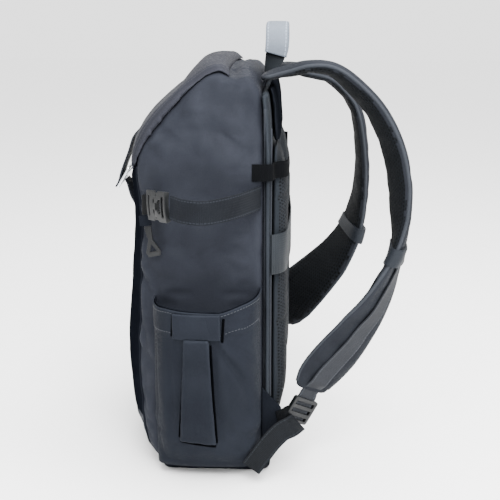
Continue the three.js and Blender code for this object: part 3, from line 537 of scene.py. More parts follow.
def clothJob(obj, pins, pressure, spare, cap, keep=None):
    group = obj.vertex_groups.new(name="pinned")
    for v in obj.data.vertices:
        weight = pins(v.co)
        if weight > 0:
            group.add([v.index], weight, "REPLACE")
    mod = obj.modifiers.new("Cloth", "CLOTH")
    s = mod.settings
    s.quality = clothRun["quality"]
    s.mass = clothRun["mass"]
    s.tension_stiffness = s.compression_stiffness = clothRun["stretch"]
    s.shear_stiffness = clothRun["shear"]
    s.bending_stiffness = clothRun["bending"]
    s.use_pressure = True
    s.uniform_pressure_force = pressure
    s.vertex_group_mass = "pinned"
    s.pin_stiffness = 1.0
    s.shrink_min = -spare
    s.effector_weights.gravity = 0
    mod.collision_settings.use_collision = False
    mod.point_cache.frame_start = 1
    mod.point_cache.frame_end = clothRun["frames"]
    clothJobs.append((obj, cap, keep))


def runCloth():
    if not clothJobs:
        return
    scene = bpy.context.scene
    for step in range(1, clothRun["frames"] + 1):
        scene.frame_set(step)
    graph = bpy.context.evaluated_depsgraph_get()
    for obj, cap, keep in clothJobs:
        moved = [v.co.copy() for v in obj.evaluated_get(graph).data.vertices]
        for v, new in zip(obj.data.vertices, moved):
            move = new - v.co
            most = cap * (keep(v.co) if keep else 1.0)
            if move.length > most:
                move = move.normalized() * most
            v.co += move
        obj.modifiers.clear()
        obj.vertex_groups.clear()
        obj.data.update()
    scene.frame_set(1)


# --- bag body

bag = {
    "voxel": 5 * mm, "pressure": 3.0, "spare": 0.02, "cap": 3.2 * mm,
    "edgeX": 0.1165, "edgeSeam": 1.6 * mm, "baseSeamZ": 0.0595, "baseSeam": 1.5 * mm,
    "frontFolds": 3.0 * mm, "gussetFolds": 6.0 * mm, "softFolds": 2.0 * mm, "sideFolds": 4.2 * mm,
    "topFolds": 3.6 * mm, "slitZ": 0.4305, "slitDepth": 2.6 * mm, "piping": 1.5 * mm,
}


def bagOuter():
    bm = copyOf("body_shell")
    middle = Vector((0, -0.02, 0.225))
    inside = [f for f in bm.faces if f.normal.dot(f.calc_center_median() - middle) < 0]
    bmesh.ops.delete(bm, geom=inside, context="FACES")
    bmesh.ops.holes_fill(bm, edges=[e for e in bm.edges if e.is_boundary], sides=0)
    bmesh.ops.triangulate(bm, faces=[f for f in bm.faces if len(f.verts) > 4])
    return bm


def bagPins(p):
    edge = groove(abs(p.x) - bag["edgeX"], 5 * mm) if p.y < -0.03 else 0.0
    pocketEdge = groove(p.y + 0.056, 5 * mm) if p.x > 0.12 and p.z < 0.21 else 0.0
    covered = max(fade(0.040, 0.052, p.y), 1 - fade(0.018, 0.03, p.z), fade(0.40, 0.42, p.z))
    underFlap = fade(0.335, 0.35, p.z) if p.y < -0.02 and abs(p.x) < 0.122 else 0.0
    return 1.0 if max(edge, pocketEdge, covered, underFlap) > 0.6 else 0.0


def bagRoom(p):
    # how far the cloth may move at this spot, as a share of the cap
    room = 1 - fade(0.030, 0.050, p.y)
    room *= fade(0.015, 0.04, p.z)
    if abs(p.x) < 0.126:
        room *= 1 - fade(0.325, 0.345, p.z)
        if abs(p.x) < 0.03:
            room *= 1 - fade(0.22, 0.25, p.z)
    return room


def bagRelief(p, n):
    push = 0.0
    front = p.y < -0.03
    if front:
        middle = bagRoom(p) * (1 - fade(0.09, 0.112, abs(p.x)))
        push += bag["frontFolds"] * crease(Vector((p.x * 13, 1.3, p.z * 7 + 0.4 * p.x))) * middle
        push -= bag["edgeSeam"] * groove(abs(p.x) - bag["edgeX"], 2.6 * mm) * (1 - fade(0.34, 0.36, p.z))
        push -= bag["baseSeam"] * groove(p.z - bag["baseSeamZ"], 2.2 * mm)
    gusset = fade(0.116, 0.122, abs(p.x)) * (1 - fade(-0.060, -0.046, p.y))
    slant = Vector((p.x * 20, (p.y + 0.35 * p.z) * 48, (p.z - 0.5 * p.y) * 20))
    push += bag["gussetFolds"] * gusset * crease(slant) * fade(0.05, 0.08, p.z) * (1 - fade(0.30, 0.34, p.z))
    push += bag["softFolds"] * bagRoom(p) * noise.fractal(p * 11, 1.0, 2.0, 2)
    side = fade(0.12, 0.13, abs(p.x)) * fade(0.215, 0.25, p.z)
    push += bag["sideFolds"] * side * crease(Vector((p.x * 12, (p.y - 0.25 * p.z) * 26, (p.z + 0.4 * p.y) * 15 + 4)))
    topSide = fade(0.33, 0.37, p.z) * fade(0.12, 0.13, abs(p.x))
    push += bag["topFolds"] * topSide * crease(Vector((p.x * 16, p.y * 34, p.z * 22 + 9)))
    slit = fade(0.012, 0.018, p.y) * (1 - fade(0.031, 0.036, p.y)) * fade(0.05, 0.1, p.x)
    push -= bag["slitDepth"] * groove(p.z - bag["slitZ"], 1.6 * mm) * slit
    return push


bagBody = remeshed(bagOuter(), "bagBody", ["bagCloth", "shadedFrontCloth"], bag["voxel"], 3)
clothJob(bagBody, bagPins, bag["pressure"], bag["spare"], bag["cap"], bagRoom)
print("bag body ready for cloth")

# --- padded back: two mesh pads, the foam panel behind them, the yoke

backPads = {
    "voxel": 4.5 * mm, "pressure": 5.0, "spare": 0.01, "cap": 1.6 * mm, "pinned": 4 * mm,
    "seamsZ": (0.17, 0.25, 0.31), "seamDepth": 2.4 * mm, "seamWidth": 3.2 * mm, "meshY": 0.0735, "meshZ": 0.215,
}
panelShape = {
    "voxel": 3 * mm, "seamX": 0.123, "seamDepth": 0.9 * mm, "ripple": 0.5 * mm,
    "pipingZ": (0.016, 0.408), "piping": ((0.0612, 1.5 * mm), (0.0672, 1.3 * mm)),
}
yokeShape = {"voxel": 2.2 * mm, "seamX": 0.081, "seamDepth": 0.8 * mm, "ripple": 0.5 * mm}
pads = {}
for side in ("right", "left"):
    pad = remeshed(copyOf("back_pad_" + side), "backPad" + side.title(), ["padMesh", "panelCloth"],
                   backPads["voxel"], 4)
    wall = min(v.co.y for v in pad.data.vertices)
    clothJob(pad, lambda p, w=wall: 1.0 if p.y < w + backPads["pinned"] else 0.0,
             backPads["pressure"], backPads["spare"], backPads["cap"])
    pads[side] = pad

panel = remeshed(copyOf("back_panel"), "backPanel", ["panelCloth"], panelShape["voxel"], 2)
yoke = remeshed(copyOf("yoke"), "strapYoke", ["darkCloth"], yokeShape["voxel"], 1)
print("back panel ready")

# --- shoulder straps

shoulder = {
    "width": 62 * mm, "thickness": 12.5 * mm, "steps": 84, "binding": 1.8 * mm, "clothDepth": 3.4 * mm,
    "pressure": 4.0, "spare": 0.012, "cap": 2.2 * mm, "pinned": 0.44,
    "widths": [(0, 0.8), (0.12, 0.95), (0.3, 1), (0.6, 1.0), (0.72, 1.06), (0.9, 1.06), (0.96, 0.95), (1, 0.72)],
    "right": [
        (0.0673, 0.0560, 0.4352, 0), (0.0700, 0.0848, 0.4424, -0.04), (0.0739, 0.1099, 0.4469, -0.12),
        (0.0779, 0.1329, 0.4429, -0.2), (0.0818, 0.1560, 0.4250, -0.25), (0.0871, 0.1779, 0.4001, -0.27),
        (0.0911, 0.1940, 0.3688, -0.28), (0.0937, 0.2029, 0.3349, -0.26), (0.0950, 0.2059, 0.3002, -0.16),
        (0.0964, 0.2045, 0.2618, 0.08), (0.0977, 0.1965, 0.2288, 0.34), (0.0990, 0.1826, 0.1945, 0.56),
        (0.1003, 0.1621, 0.1615, 0.78), (0.1016, 0.1417, 0.1338, 0.92), (0.1030, 0.1227, 0.1102, 1),
        (0.1043, 0.1110, 0.0905, 0.95)],
    "left": [
        (-0.0673, 0.0570, 0.4335, 0), (-0.0700, 0.0818, 0.4344, 0), (-0.0726, 0.1074, 0.4291, 0),
        (-0.0752, 0.1315, 0.4224, 0.02), (-0.0805, 0.1502, 0.4059, 0.04), (-0.0858, 0.1630, 0.3862, 0.06),
        (-0.0898, 0.1700, 0.3581, 0.08), (-0.0924, 0.1737, 0.3189, 0.12), (-0.0937, 0.1731, 0.2899, 0.18),
        (-0.0950, 0.1702, 0.2640, 0.28), (-0.0977, 0.1611, 0.2279, 0.42), (-0.1016, 0.1440, 0.1953, 0.58),
        (-0.1069, 0.1286, 0.1748, 0.74), (-0.1162, 0.1110, 0.1534, 0.94), (-0.1307, 0.0891, 0.1276, 1.16),
        (-0.1465, 0.0672, 0.0990, 1.34)],
}
padRing = [(math.cos(2 * math.pi * k / 20), math.sin(2 * math.pi * k / 20)) for k in range(20)]
padSection = [(0.5 * math.copysign(abs(c) ** 0.5, c), 0.5 * math.copysign(abs(s) ** 0.8, s)) for c, s in padRing]


def between(rows, value):
    for (a, x), (b, y) in zip(rows, rows[1:]):
        if value <= b:
            return x + (y - x) * (value - a) / (b - a)
    return rows[-1][1]


def strapWidth(share):
    return shoulder["width"] * between(shoulder["widths"], max(0, share))


def strapDepth(share):
    return shoulder["thickness"] * min(1, 0.55 + 5 * min(share, 1 - share))


def strapStations(side, steps, start=0.0, end=1.0):
    rows = shoulder[side]
    sign = 1 if side == "right" else -1
    turns = [(k / (len(rows) - 1), r[3]) for k, r in enumerate(rows)]
    return stationsAlong(rows, (1, 0, 0), steps, start, end, lambda share: sign * between(turns, share))


def makeStrap(side):
    stations = strapStations(side, shoulder["steps"])
    bm = sweep(stations, padSection, strapWidth, strapDepth)
    outs = [(st["spot"], st["out"]) for st in stations]
    for f in bm.faces:
        c = f.calc_center_median()
        spot, out = min(outs, key=lambda s: (s[0] - c).length_squared)
        f.material_index = 0 if (c - spot).dot(out) > -shoulder["clothDepth"] else 1
    obj = finishMesh(bm, "shoulderStrap" + side.title(), ["strapCloth", "strapMesh"])
    spots = [st["spot"] for st in stations]
    sides = [st["side"] for st in stations]
    widths = [strapWidth(st["share"]) for st in stations]

    def pins(p):
        k = min(range(len(spots)), key=lambda j: (spots[j] - p).length_squared)
        edge = abs((p - spots[k]).dot(sides[k])) > shoulder["pinned"] * widths[k]
        return 1.0 if edge or k < 2 or k > len(spots) - 3 else 0.0

    clothJob(obj, pins, shoulder["pressure"], shoulder["spare"], shoulder["cap"])
    return obj


def edgeLines(side):
    stations = strapStations(side, 90, 0.012, 0.985)
    return [[st["spot"] + st["side"] * (sign * 0.492 * strapWidth(st["share"])) for st in stations]
            for sign in (-1, 1)]


straps = {side: makeStrap(side) for side in ("right", "left")}
print("shoulder straps ready for cloth")

# --- side pocket, a sheet hung round the side of the bag

pocket = {
    "side": 0.126, "reach": 62 * mm, "frontY": -0.0570, "backY": 0.0584, "bottom": 13 * mm, "hem": 207 * mm,
    "columns": 72, "rows": 66, "wall": 1.8 * mm, "pressure": 1.6, "spare": 0.035, "cap": 5 * mm,
    "fanFolds": 4.6 * mm, "frontFolds": 4.2 * mm, "lowFolds": 3.6 * mm, "softFolds": 1.2 * mm,
    "hemSeam": 1.3 * mm, "stemDepth": 1.8 * mm,
    "voxel": {"crossbar": 0.8 * mm, "sleeve": 1.1 * mm, "binding": 0.7 * mm},
    "slits": ((-0.0318, 0.181, 0.205), (0.0203, 0.176, 0.2015)),  # y, low and high, beside the crossbar
    # painted shadow: dark tubes beside and under the sleeve
    "sleeveShadows": (((-0.0175, 0.176), (-0.0278, 0.060), 1.2 * mm),  # start, end and radius, round the sleeve
             ((0.0082, 0.172), (0.0122, 0.055), 1.3 * mm),
             ((-0.027, 0.0555), (0.011, 0.0510), 2.0 * mm)),
    "stitchDrops": (4 * mm, 26 * mm),
}
pocketReach = [(0, 0.2), (0.03, 0.3), (0.12, 0.5), (0.28, 0.68), (0.5, 0.84), (0.75, 0.95), (1, 1), (1.2, 1)]
hemRows = [(-0.1, 0.995), (0.15, 1.01), (0.35, 1.005), (0.65, 1), (0.85, 1.035), (1.1, 1.06)]


def pocketPoint(turn, level):
    p = pocket
    middle, half = (p["frontY"] + p["backY"]) / 2, (p["backY"] - p["frontY"]) / 2
    angle = math.pi * min(1, max(0, turn))
    c, s = math.cos(angle), max(0.0, math.sin(angle))
    y = middle - half * math.copysign(abs(c) ** 0.8, c)
    reach = p["reach"] * between(pocketReach, max(0, level)) + 6 * mm
    return Vector((p["side"] + reach * s ** 0.62, y, p["bottom"] + (p["hem"] - p["bottom"]) * level))


def hemLevel(turn):
    y = pocketPoint(turn, 1).y
    z = pocket["hem"] * between(hemRows, (y - pocket["frontY"]) / (pocket["backY"] - pocket["frontY"]))
    return (z - pocket["bottom"]) / (pocket["hem"] - pocket["bottom"])


def makePocket():
    p = pocket
    bm = bmesh.new()
    bmesh.ops.create_grid(bm, x_segments=p["columns"], y_segments=p["rows"], size=0.5)
    for v in bm.verts:
        turn, level = v.co.x + 0.5, v.co.y + 0.5
        turn = 0.5 - 0.5 * math.cos(math.pi * turn)  # more columns where the pocket turns
        share = (level - 0.06) / 0.94
        if share < 0:  # the rows that close the bottom
            spot = pocketPoint(turn, 0)
            spot.x = p["side"] + (spot.x - p["side"]) * (1 + share / 0.07)
            v.co = spot
        else:
            v.co = pocketPoint(turn, share * hemLevel(turn))
    bmesh.ops.recalc_face_normals(bm, faces=bm.faces)
    outer = max(bm.faces, key=lambda f: f.calc_center_median().x)
    if outer.normal.x < 0:
        bmesh.ops.reverse_faces(bm, faces=bm.faces)
    # painted shade: the second finish is the near-black cloth for the pocket's inside
    return finishMesh(bm, "sidePocket", ["pocketCloth", "paintedShadeCloth"])


def pocketRelief(p, n):
    if p.z < 20 * mm:
        return 0.0
    push = 0.0
    free = fade(0.132, 0.146, p.x)
    stem = 1 - fade(0.020, 0.028, abs(p.y + 0.008 - 0.06 * (p.z - 0.17)))
    stem *= fade(0.045, 0.055, p.z)
    hemBand = fade(0.172, 0.180, p.z)
    away = (1 - stem) * (1 - 0.75 * hemBand)
    # folds that fan out from the lower corner of the crossbar on both sides
    back = fade(0.0, 0.02, p.y)
    ray = math.atan2(p.z - 0.20, p.y - 0.002)
    far = math.hypot(p.z - 0.20, p.y - 0.002)
    fan = crease(Vector((ray * 3.4, far * 9, 1.7)))
    push += pocket["fanFolds"] * away * back * fan * fade(0.03, 0.07, p.z) * (1 - fade(0.042, 0.057, p.y))
    front = 1 - fade(-0.036, -0.026, p.y)
    push += pocket["frontFolds"] * away * front * crease(Vector((p.x * 10, p.y * 50, p.z * 8 + 3)))
    low = 1 - fade(0.05, 0.10, p.z)
    push += pocket["lowFolds"] * low * crease(Vector((p.x * 20, p.y * 16, (p.z + 0.5 * abs(p.y)) * 34)))
    push += pocket["softFolds"] * away * free * noise.fractal(Vector((p.x * 22, p.y * 22, p.z * 14)), 1.0, 2.0, 2)
    push -= pocket["hemSeam"] * groove(p.z - 0.179 - 0.06 * max(0, p.y), 1.6 * mm) * free * (1 - stem)
    push -= pocket["stemDepth"] * stem * fade(0.05, 0.06, p.z) * (1 - hemBand)
    return push * free


def pocketPins(p):
    held = p.x < 0.137 or p.z < 0.03 or p.z > 0.196
    return 1.0 if held or (abs(p.y + 0.008) < 0.02 and p.z > 0.05) else 0.0


sidePocket = makePocket()
clothJob(sidePocket, pocketPins, pocket["pressure"], pocket["spare"], pocket["cap"])
print("pocket ready for cloth")

runCloth()
print("cloth done", len(clothJobs))

# --- bag body after the cloth run

sculpt(bagBody, bagRelief)
subdivide(bagBody)
# painted shade: faces on the front panel take the darker front cloth
for f in bagBody.data.polygons:
    c = f.center
    f.material_index = 1 if c.y < -0.03 and abs(c.x) < bag["edgeX"] and bag["baseSeamZ"] < c.z < 0.37 else 0
place(bagBody, "bag_cloth", "body_shell")
bagTree = treeOf(bagBody)

for side, sign in (("Right", 1), ("Left", -1)):
    spots = []
    for z in line((0, 0, 0.030), (0, 0, 0.345), 60):
        hit = bagTree.ray_cast(Vector((sign * (bag["edgeX"] + 0.5 * mm), -0.3, z.z)), Vector((0, 1, 0)))
        spots.append(hit[0] + hit[1] * 0.2 * mm)
    place(tube("frontPiping" + side, spots, bag["piping"], "darkCloth"), "dark_cloth")
print("bag body done")

# --- flap

flapShape = {
    "voxel": 2.2 * mm, "edgeX": 0.113, "hemInset": 7 * mm, "hemDepth": 1.0 * mm, "piping": 1.6 * mm,
    "folds": 1.8 * mm, "ripple": 0.8 * mm, "overhang": 3.6 * mm,
}
baseShape = {"voxel": 3.2 * mm, "seamZ": 7 * mm, "seamDepth": 0.8 * mm}
flap = remeshed(copyOf("flap"), "topFlap", ["flapCloth"], flapShape["voxel"], 3)


def flapRelief(p, n):
    if n.z < -0.2 or n.y > 0.6:
        return 0.0
    edge = flapShape["edgeX"]
    push = -flapShape["hemDepth"] * groove(abs(p.x) - (edge - flapShape["hemInset"]), 1.5 * mm)
    push += flapShape["piping"] * groove(abs(p.x) - edge, 3 * mm)
    push += flapShape["folds"] * crease(Vector((p.x * 9, p.y * 20, p.z * 13)))
    ripple = noise.noise(Vector((p.x * 50, p.y * 24, p.z * 24)))
    push += flapShape["ripple"] * ripple * fade(0.08, 0.115, abs(p.x))
    push += flapShape["overhang"] * fade(0.350, 0.385, p.z) * (1 - fade(-0.030, -0.005, p.y))
    return push * (1 - fade(0.012, 0.020, p.y))


sculpt(flap, flapRelief)
place(flap, "bag_cloth", "flap")

base = remeshed(copyOf("base_panel"), "basePanel", ["darkCloth"], baseShape["voxel"], 2)


def baseRelief(p, n):
    return -baseShape["seamDepth"] * groove(p.z - baseShape["seamZ"], 1.5 * mm) if abs(n.z) < 0.7 else 0.0


sculpt(base, baseRelief)
place(base, "dark_cloth", "base_panel")
print("flap and base done")

# --- back pads, panel and yoke after the cloth run


def quilting(p, n):
    push = 0.0
    for z in backPads["seamsZ"]:
        push -= backPads["seamDepth"] * groove(p.z - z, backPads["seamWidth"]) * max(0, n.y)
    return push


def panelRelief(p, n):
    seam = groove(abs(p.x) - panelShape["seamX"], 1.6 * mm) * max(0, n.y)
    return panelShape["ripple"] * noise.noise(p * 40) - panelShape["seamDepth"] * seam


def yokeRelief(p, n):
    seam = groove(abs(p.x) - yokeShape["seamX"], 1.4 * mm) * max(0, n.y)
    return yokeShape["ripple"] * noise.noise(p * 30) - yokeShape["seamDepth"] * seam


for side, pad in pads.items():
    subdivide(pad)
    sculpt(pad, quilting)
    for f in pad.data.polygons:
        mesh = f.center.y > backPads["meshY"] and (abs(f.normal.x) < 0.75 or f.center.z < backPads["meshZ"])
        f.material_index = 0 if mesh else 1
    place(pad, "spacer_mesh", "back_pad_" + side)

sculpt(panel, panelRelief)
place(panel, "dark_cloth", "back_panel")
sculpt(yoke, yokeRelief)
place(yoke, "dark_cloth", "yoke")
panelTree = treeOf(panel)
low, high = panelShape["pipingZ"]
for side, sign in (("Right", 1), ("Left", -1)):
    for k, (y, radius) in enumerate(panelShape["piping"]):
        starts = line((sign * 0.3, y, low), (sign * 0.3, y, high), 70)
        spots = onSurface(panelTree, starts, (-sign, 0, 0), 0.1 * mm)[0]
        place(tube("panelPiping%s%d" % (side, k + 1), spots, radius, "bindingCloth"), "dark_cloth")
print("back done")

# --- shoulder straps after the cloth run

for side, strap in straps.items():
    subdivide(strap)
    place(strap, "bag_cloth", "shoulder_strap_" + side)
    for k, edge in enumerate(edgeLines(side)):
        name = "strapBinding%s%d" % (side.title(), k + 1)
        # painted highlight: the strap bindings take the lighter highlight cloth
        place(tube(name, edge, shoulder["binding"], "bindingHighlightCloth", 12), "bag_cloth")

keepers = {
    "proud": 4.6 * mm, "thickness": 19.4 * mm, "lift": 1.2 * mm, "right": (0.598, 0.64), "left": (0.601, 0.637),
}
webs = {
    "start": 0.5, "reach": 1.034, "width": 25 * mm, "thickness": 1.7 * mm, "lift": 7.7 * mm,
    "wave": 1.6 * mm, "endLift": 1.5 * mm, "sewnDown": 2.6 * mm,
}


def webLift(share):
    wave = webs["wave"] * math.sin(math.pi * fade(0.62, 0.98, share)) * (0.6 + 0.4 * math.sin(share * 60))
    drop = fade(0.965, 1.0, share) * (webs["lift"] - webs["endLift"])
    sewn = (1 - fade(0.5, 0.53, share)) * webs["sewnDown"]
    return webs["lift"] + max(0.0, wave) - drop - sewn


for side in ("right", "left"):
    stations = strapStations(side, 76, webs["start"], webs["reach"])
    bm = sweep(stations, webSection, webs["width"], webs["thickness"], webLift)
    web = finishMesh(bm, "strapWebbing" + side.title(), ["strapWebbing"], sharp=50)
    place(web, "webbing", "strap_webbing_" + side)

    stations = strapStations(side, 6, *keepers[side])
    bm = sweep(stations, padSection, lambda share: strapWidth(share) + keepers["proud"],
               keepers["thickness"], keepers["lift"])
    keeper = finishMesh(bm, "strapKeeper" + side.title(), ["keeperBand"], sharp=60)
    place(keeper, "webbing", "keeper_" + side)
print("straps done")

# --- lower adjusters

adjusters = {
    "lockWidth": 25 * mm, "anchorWidth": 22.5 * mm, "tailWidth": 23 * mm, "thickness": 1.6 * mm,
    "lockEdge": 0.9 * mm, "wingEdge": 0.7 * mm, "threadBehind": 0.8 * mm, "threadShift": 0.6 * mm,
    "lock": {  # middle, direction down, direction across, end of the padded strap
        "right": [(0.1076, 0.1011, 0.0679), (0.1198, -0.4990, -0.8583), (0.58, -0.70, 0.40),
                  (0.1043, 0.1110, 0.0905)],
        "left": [(-0.1494, 0.0552, 0.0704), (-0.0502, -0.2209, -0.9740), (0.229, -0.948, 0.215),
                 (-0.1465, 0.0672, 0.0990)]},
    "anchor": {
        "right": [(0.1302, 0.0762, 0.0645), (0.1260, 0.0821, 0.0660), (0.1190, 0.0882, 0.0655),
                  (0.1136, 0.0911, 0.0452)],
        "left": [(-0.1341, 0.0696, 0.0600), (-0.1380, 0.0637, 0.0560), (-0.1430, 0.0582, 0.0500),
                 (-0.1498, 0.0487, 0.0508)]},
    "tail": {
        "right": [(0.1206, 0.0986, 0.0592), (0.1386, 0.0916, 0.0612), (0.1446, 0.0811, 0.0577),
                  (0.1516, 0.0686, 0.0467), (0.1580, 0.0481, 0.0197)],
        "left": [(-0.1532, 0.0532, 0.0538), (-0.1548, 0.0477, 0.0368), (-0.1562, 0.0437, 0.0228),
                 (-0.1568, 0.0397, 0.0148)]},
}


def softened(node, name, material, offset):
    bm = copyOf(node)
    bmesh.ops.dissolve_limit(bm, angle_limit=0.02, verts=bm.verts, edges=bm.edges)
    edges = [e for e in bm.edges if len(e.link_faces) == 2 and e.calc_face_angle() > 0.5]
    bmesh.ops.bevel(bm, geom=edges, affect="EDGES", offset=offset, segments=3, profile=0.5, material=-1,
                    clamp_overlap=True)
    bmesh.ops.recalc_face_normals(bm, faces=bm.faces)
    return finishMesh(bm, name, [material], sharp=40)


a = adjusters
for side, sign in (("right", 1), ("left", -1)):
    anchor = webbing("anchorWebbing" + side.title(), a["anchor"][side], (0, 0, sign), 24,
                     a["anchorWidth"], a["thickness"], "blackWebbing")
    place(anchor, "black_webbing", "anchor_webbing_" + side)
    tail = webbing("looseTail" + side.title(), a["tail"][side], (0, 0.75, -0.66), 40,
                   a["tailWidth"], a["thickness"], "tailWebbing")
    place(tail, "webbing", "loose_tail_" + side)
    lock = softened("ladder_lock_" + side, "ladderLock" + side.title(), "buckleGrey", a["lockEdge"])
    place(lock, "moulded_plastic", "ladder_lock_" + side)
    middle, along, across, start = (Vector(v) for v in a["lock"][side])
    away = along.cross(across) * a["threadBehind"] - across * a["threadShift"]
    path = [start, middle - along * 15 * mm + away, middle + away, middle + along * 14 * mm + away]
    threaded = webbing("lockWebbing" + side.title(), path, across, 24, a["lockWidth"], a["thickness"], "strapWebbing")
    place(threaded, "webbing")
    wing = softened("wing_" + side, "wing" + side.title(), "darkCloth", a["wingEdge"])
    place(wing, "dark_cloth", "wing_" + side)
print("adjusters done")

# --- side pocket after the cloth run

sculpt(sidePocket, pocketRelief)
# painted shade: the pocket's inner wall takes the near-black second finish
addModifier(sidePocket, "SOLIDIFY", thickness=pocket["wall"], offset=-1, material_offset=1)
addModifier(sidePocket, "SUBSURF", levels=1, render_levels=1)
applyAll(sidePocket)
place(sidePocket, "pocket_cloth", "side_pocket")
pocketTree = treeOf(sidePocket)

crossbar = remeshed(copyOf("pocket_crossbar"), "pocketCrossbar", ["pocketCloth"], pocket["voxel"]["crossbar"], 1)
sculpt(crossbar, lambda p, n: (1.5 + 0.8 * crease(Vector((1, p.y * 38, p.z * 14)))) * mm * max(0, n.x))
place(crossbar, "pocket_cloth", "pocket_crossbar")
sleeve = remeshed(copyOf("pocket_sleeve"), "pocketSleeve", ["pocketCloth"], pocket["voxel"]["sleeve"], 3)
sculpt(sleeve, lambda p, n: (1.6 * mm * crease(Vector((3, p.y * 42, p.z * 7 + 2))) + 1.6 * mm) * max(0, n.x))
place(sleeve, "pocket_cloth", "pocket_sleeve")
binding = remeshed(copyOf("pocket_binding"), "pocketBinding", ["darkCloth"], pocket["voxel"]["binding"], 1)
place(binding, "dark_cloth", "pocket_binding")

# painted shadow: near-black tubes in the openings where the hem is held in, and beside and under the sleeve
for k, (y, low, high) in enumerate(pocket["slits"]):
    spots = onSurface(pocketTree, line((0.2, y, low), (0.2, y + 1.5 * mm, high), 8), (-1, 0, 0), 0.2 * mm)[0]
    place(tube("hemSlitShadow%d" % (k + 1), spots, 1.5 * mm, "paintedShadeCloth"), "dark_cloth")
for k, (a, b, radius) in enumerate(pocket["sleeveShadows"]):
    spots = onSurface(pocketTree, line((0.23, *a), (0.23, *b), 24), (-1, 0, 0), 0.9 * mm)[0]
    place(tube("sleeveShadow%d" % (k + 1), spots, radius, "paintedShadeCloth"), "dark_cloth")

hemThread = bmesh.new()
for drop in pocket["stitchDrops"]:
    spots, normals = [], []
    for k in range(121):
        turn = 0.06 + 0.88 * k / 120
        guide = pocketPoint(turn, hemLevel(turn)) - Vector((0, 0, drop))
        outward = (guide - Vector((0.12, guide.y * 0.4, guide.z))).normalized()
        spot, normal, index, far = pocketTree.find_nearest(guide + outward * 0.01)
        if spot is not None:
            spots.append(spot + normal * 0.1 * mm)
            normals.append(normal)
    stitchRow(hemThread, spots, normals)
thread = finishMesh(hemThread, "pocketStitches", ["threadGrey"], smooth=False)
place(thread, "pocket_cloth")
print("pocket done")

# --- side strap, its buckle and slider

sideStrap = {
    "width": 25 * mm, "thickness": 1.7 * mm,
    "path": [(0.1316, 0.0570, 0.3160), (0.1476, 0.0504, 0.3160), (0.1710, 0.0365, 0.3150), (0.1892, 0.0180, 0.3135),
             (0.1970, 0.0007, 0.3127), (0.1938, -0.0178, 0.3137), (0.1833, -0.0316, 0.3155)],
    "patch": (0.50, 0.74), "patchWidth": 23 * mm, "patchThickness": 1.2 * mm, "patchLift": -1.5 * mm,
    "joining": [(0.1545, -0.0578, 0.3121), (0.1463, -0.0628, 0.3100), (0.1385, -0.0663, 0.3080),
                (0.1275, -0.0674, 0.3060)],
    "joiningWidth": 21 * mm, "joiningThickness": 1.6 * mm, "glideEdge": 0.8 * mm, "tailEdge": 0.3 * mm,
}


def patchWidth(share):
    return sideStrap["patchWidth"] * min(1, 0.8 + 8 * min(share - 0.49, 0.75 - share))


a = sideStrap
band = webbing("sideStrap", a["path"], (0, 0, 1), 60, a["width"], a["thickness"], "sideWebbing")
place(band, "webbing", "tripod_strap")
patch = webbing("strapPatch", a["path"], (0, 0, 1), 24, patchWidth, a["patchThickness"], "strapCloth",
                *a["patch"], a["patchLift"])
place(patch, "webbing")
tie = webbing("buckleWebbing", a["joining"], (0, 0, 1), 16, a["joiningWidth"], a["joiningThickness"], "blackWebbing")
place(tie, "webbing", "buckle_webbing")

buckle = {
    "start": (0.1814, -0.0339, 0.3150), "along": (-0.7453, -0.6619, -0.0800), "length": 35 * mm, "height": 31 * mm,
    "cell": 1.75 * mm, "frameThickness": 5.5 * mm, "frameCrown": 1.6 * mm,
    "tongueThickness": 4.0 * mm, "tongueCrown": 1.2 * mm,
}


def frameCell(u, v):
    # u runs from the strap to the tongue's bar, v is the share of half the height
    if u > 0.53 or v > 0.97:
        return False
    strapSlot = 0.08 < u < 0.18 and v < 0.72
    window = 0.27 < u < 0.50 and v < 0.46 - 0.3 * fade(0.27, 0.5, u)
    waist = v > 0.97 - 0.55 * fade(0.36, 0.53, u) * 0.6
    return not (strapSlot or window or waist)


def tongueCell(u, v):
    barSlot = 0.83 < u < 0.92 and v < 0.66
    prongs = 0.42 < u < 0.66 and 0.42 + 0.4 * fade(0.66, 0.42, u) < v < 0.92
    stem = 0.48 < u < 0.70 and v < 0.2
    bar = 0.66 <= u <= 1.0 and v < 0.95
    return (prongs or stem or bar) and not barSlot


def cellPlate(name, keepCell, thickness, crown):
    b = buckle
    along = Vector(b["along"]).normalized()
    up = (Vector((0, 0, 1)) - along * along.z).normalized()
    out = along.cross(up)
    out = out if out.x - out.y > 0 else -out
    columns, rows = round(b["length"] / b["cell"]), round(b["height"] / b["cell"])
    bm = bmesh.new()
    bmesh.ops.create_grid(bm, x_segments=columns, y_segments=rows, size=0.5)
    away = [f for f in bm.faces if not keepCell(f.calc_center_median().x + 0.5, abs(f.calc_center_median().y) * 2)]
    bmesh.ops.delete(bm, geom=away, context="FACES")
    for v in bm.verts:
        u, w = v.co.x + 0.5, v.co.y
        bulge = crown * (1 - (2 * w) ** 2)
        v.co = Vector(b["start"]) + along * (u * b["length"]) + up * (w * b["height"]) + out * bulge
    bmesh.ops.recalc_face_normals(bm, faces=bm.faces)
    obj = finishMesh(bm, name, ["buckleGrey"])
    addModifier(obj, "SOLIDIFY", thickness=thickness, offset=0)
    addModifier(obj, "BEVEL", width=0.5 * mm, segments=2, limit_method="ANGLE")
    addModifier(obj, "SUBSURF", levels=1, render_levels=1)
    return applyAll(obj)


frameBit = cellPlate("buckleFrame", frameCell, buckle["frameThickness"], buckle["frameCrown"])
place(frameBit, "moulded_plastic", "buckle_frame")
tongueBit = cellPlate("buckleTongue", tongueCell, buckle["tongueThickness"], buckle["tongueCrown"])
place(tongueBit, "moulded_plastic", "buckle_tongue")
place(softened("tri_glide", "triGlide", "buckleGrey", sideStrap["glideEdge"]), "moulded_plastic", "tri_glide")
place(softened("strap_tail", "strapTail", "darkCloth", sideStrap["tailEdge"]), "webbing", "strap_tail")
print("side strap done")

# --- front closure

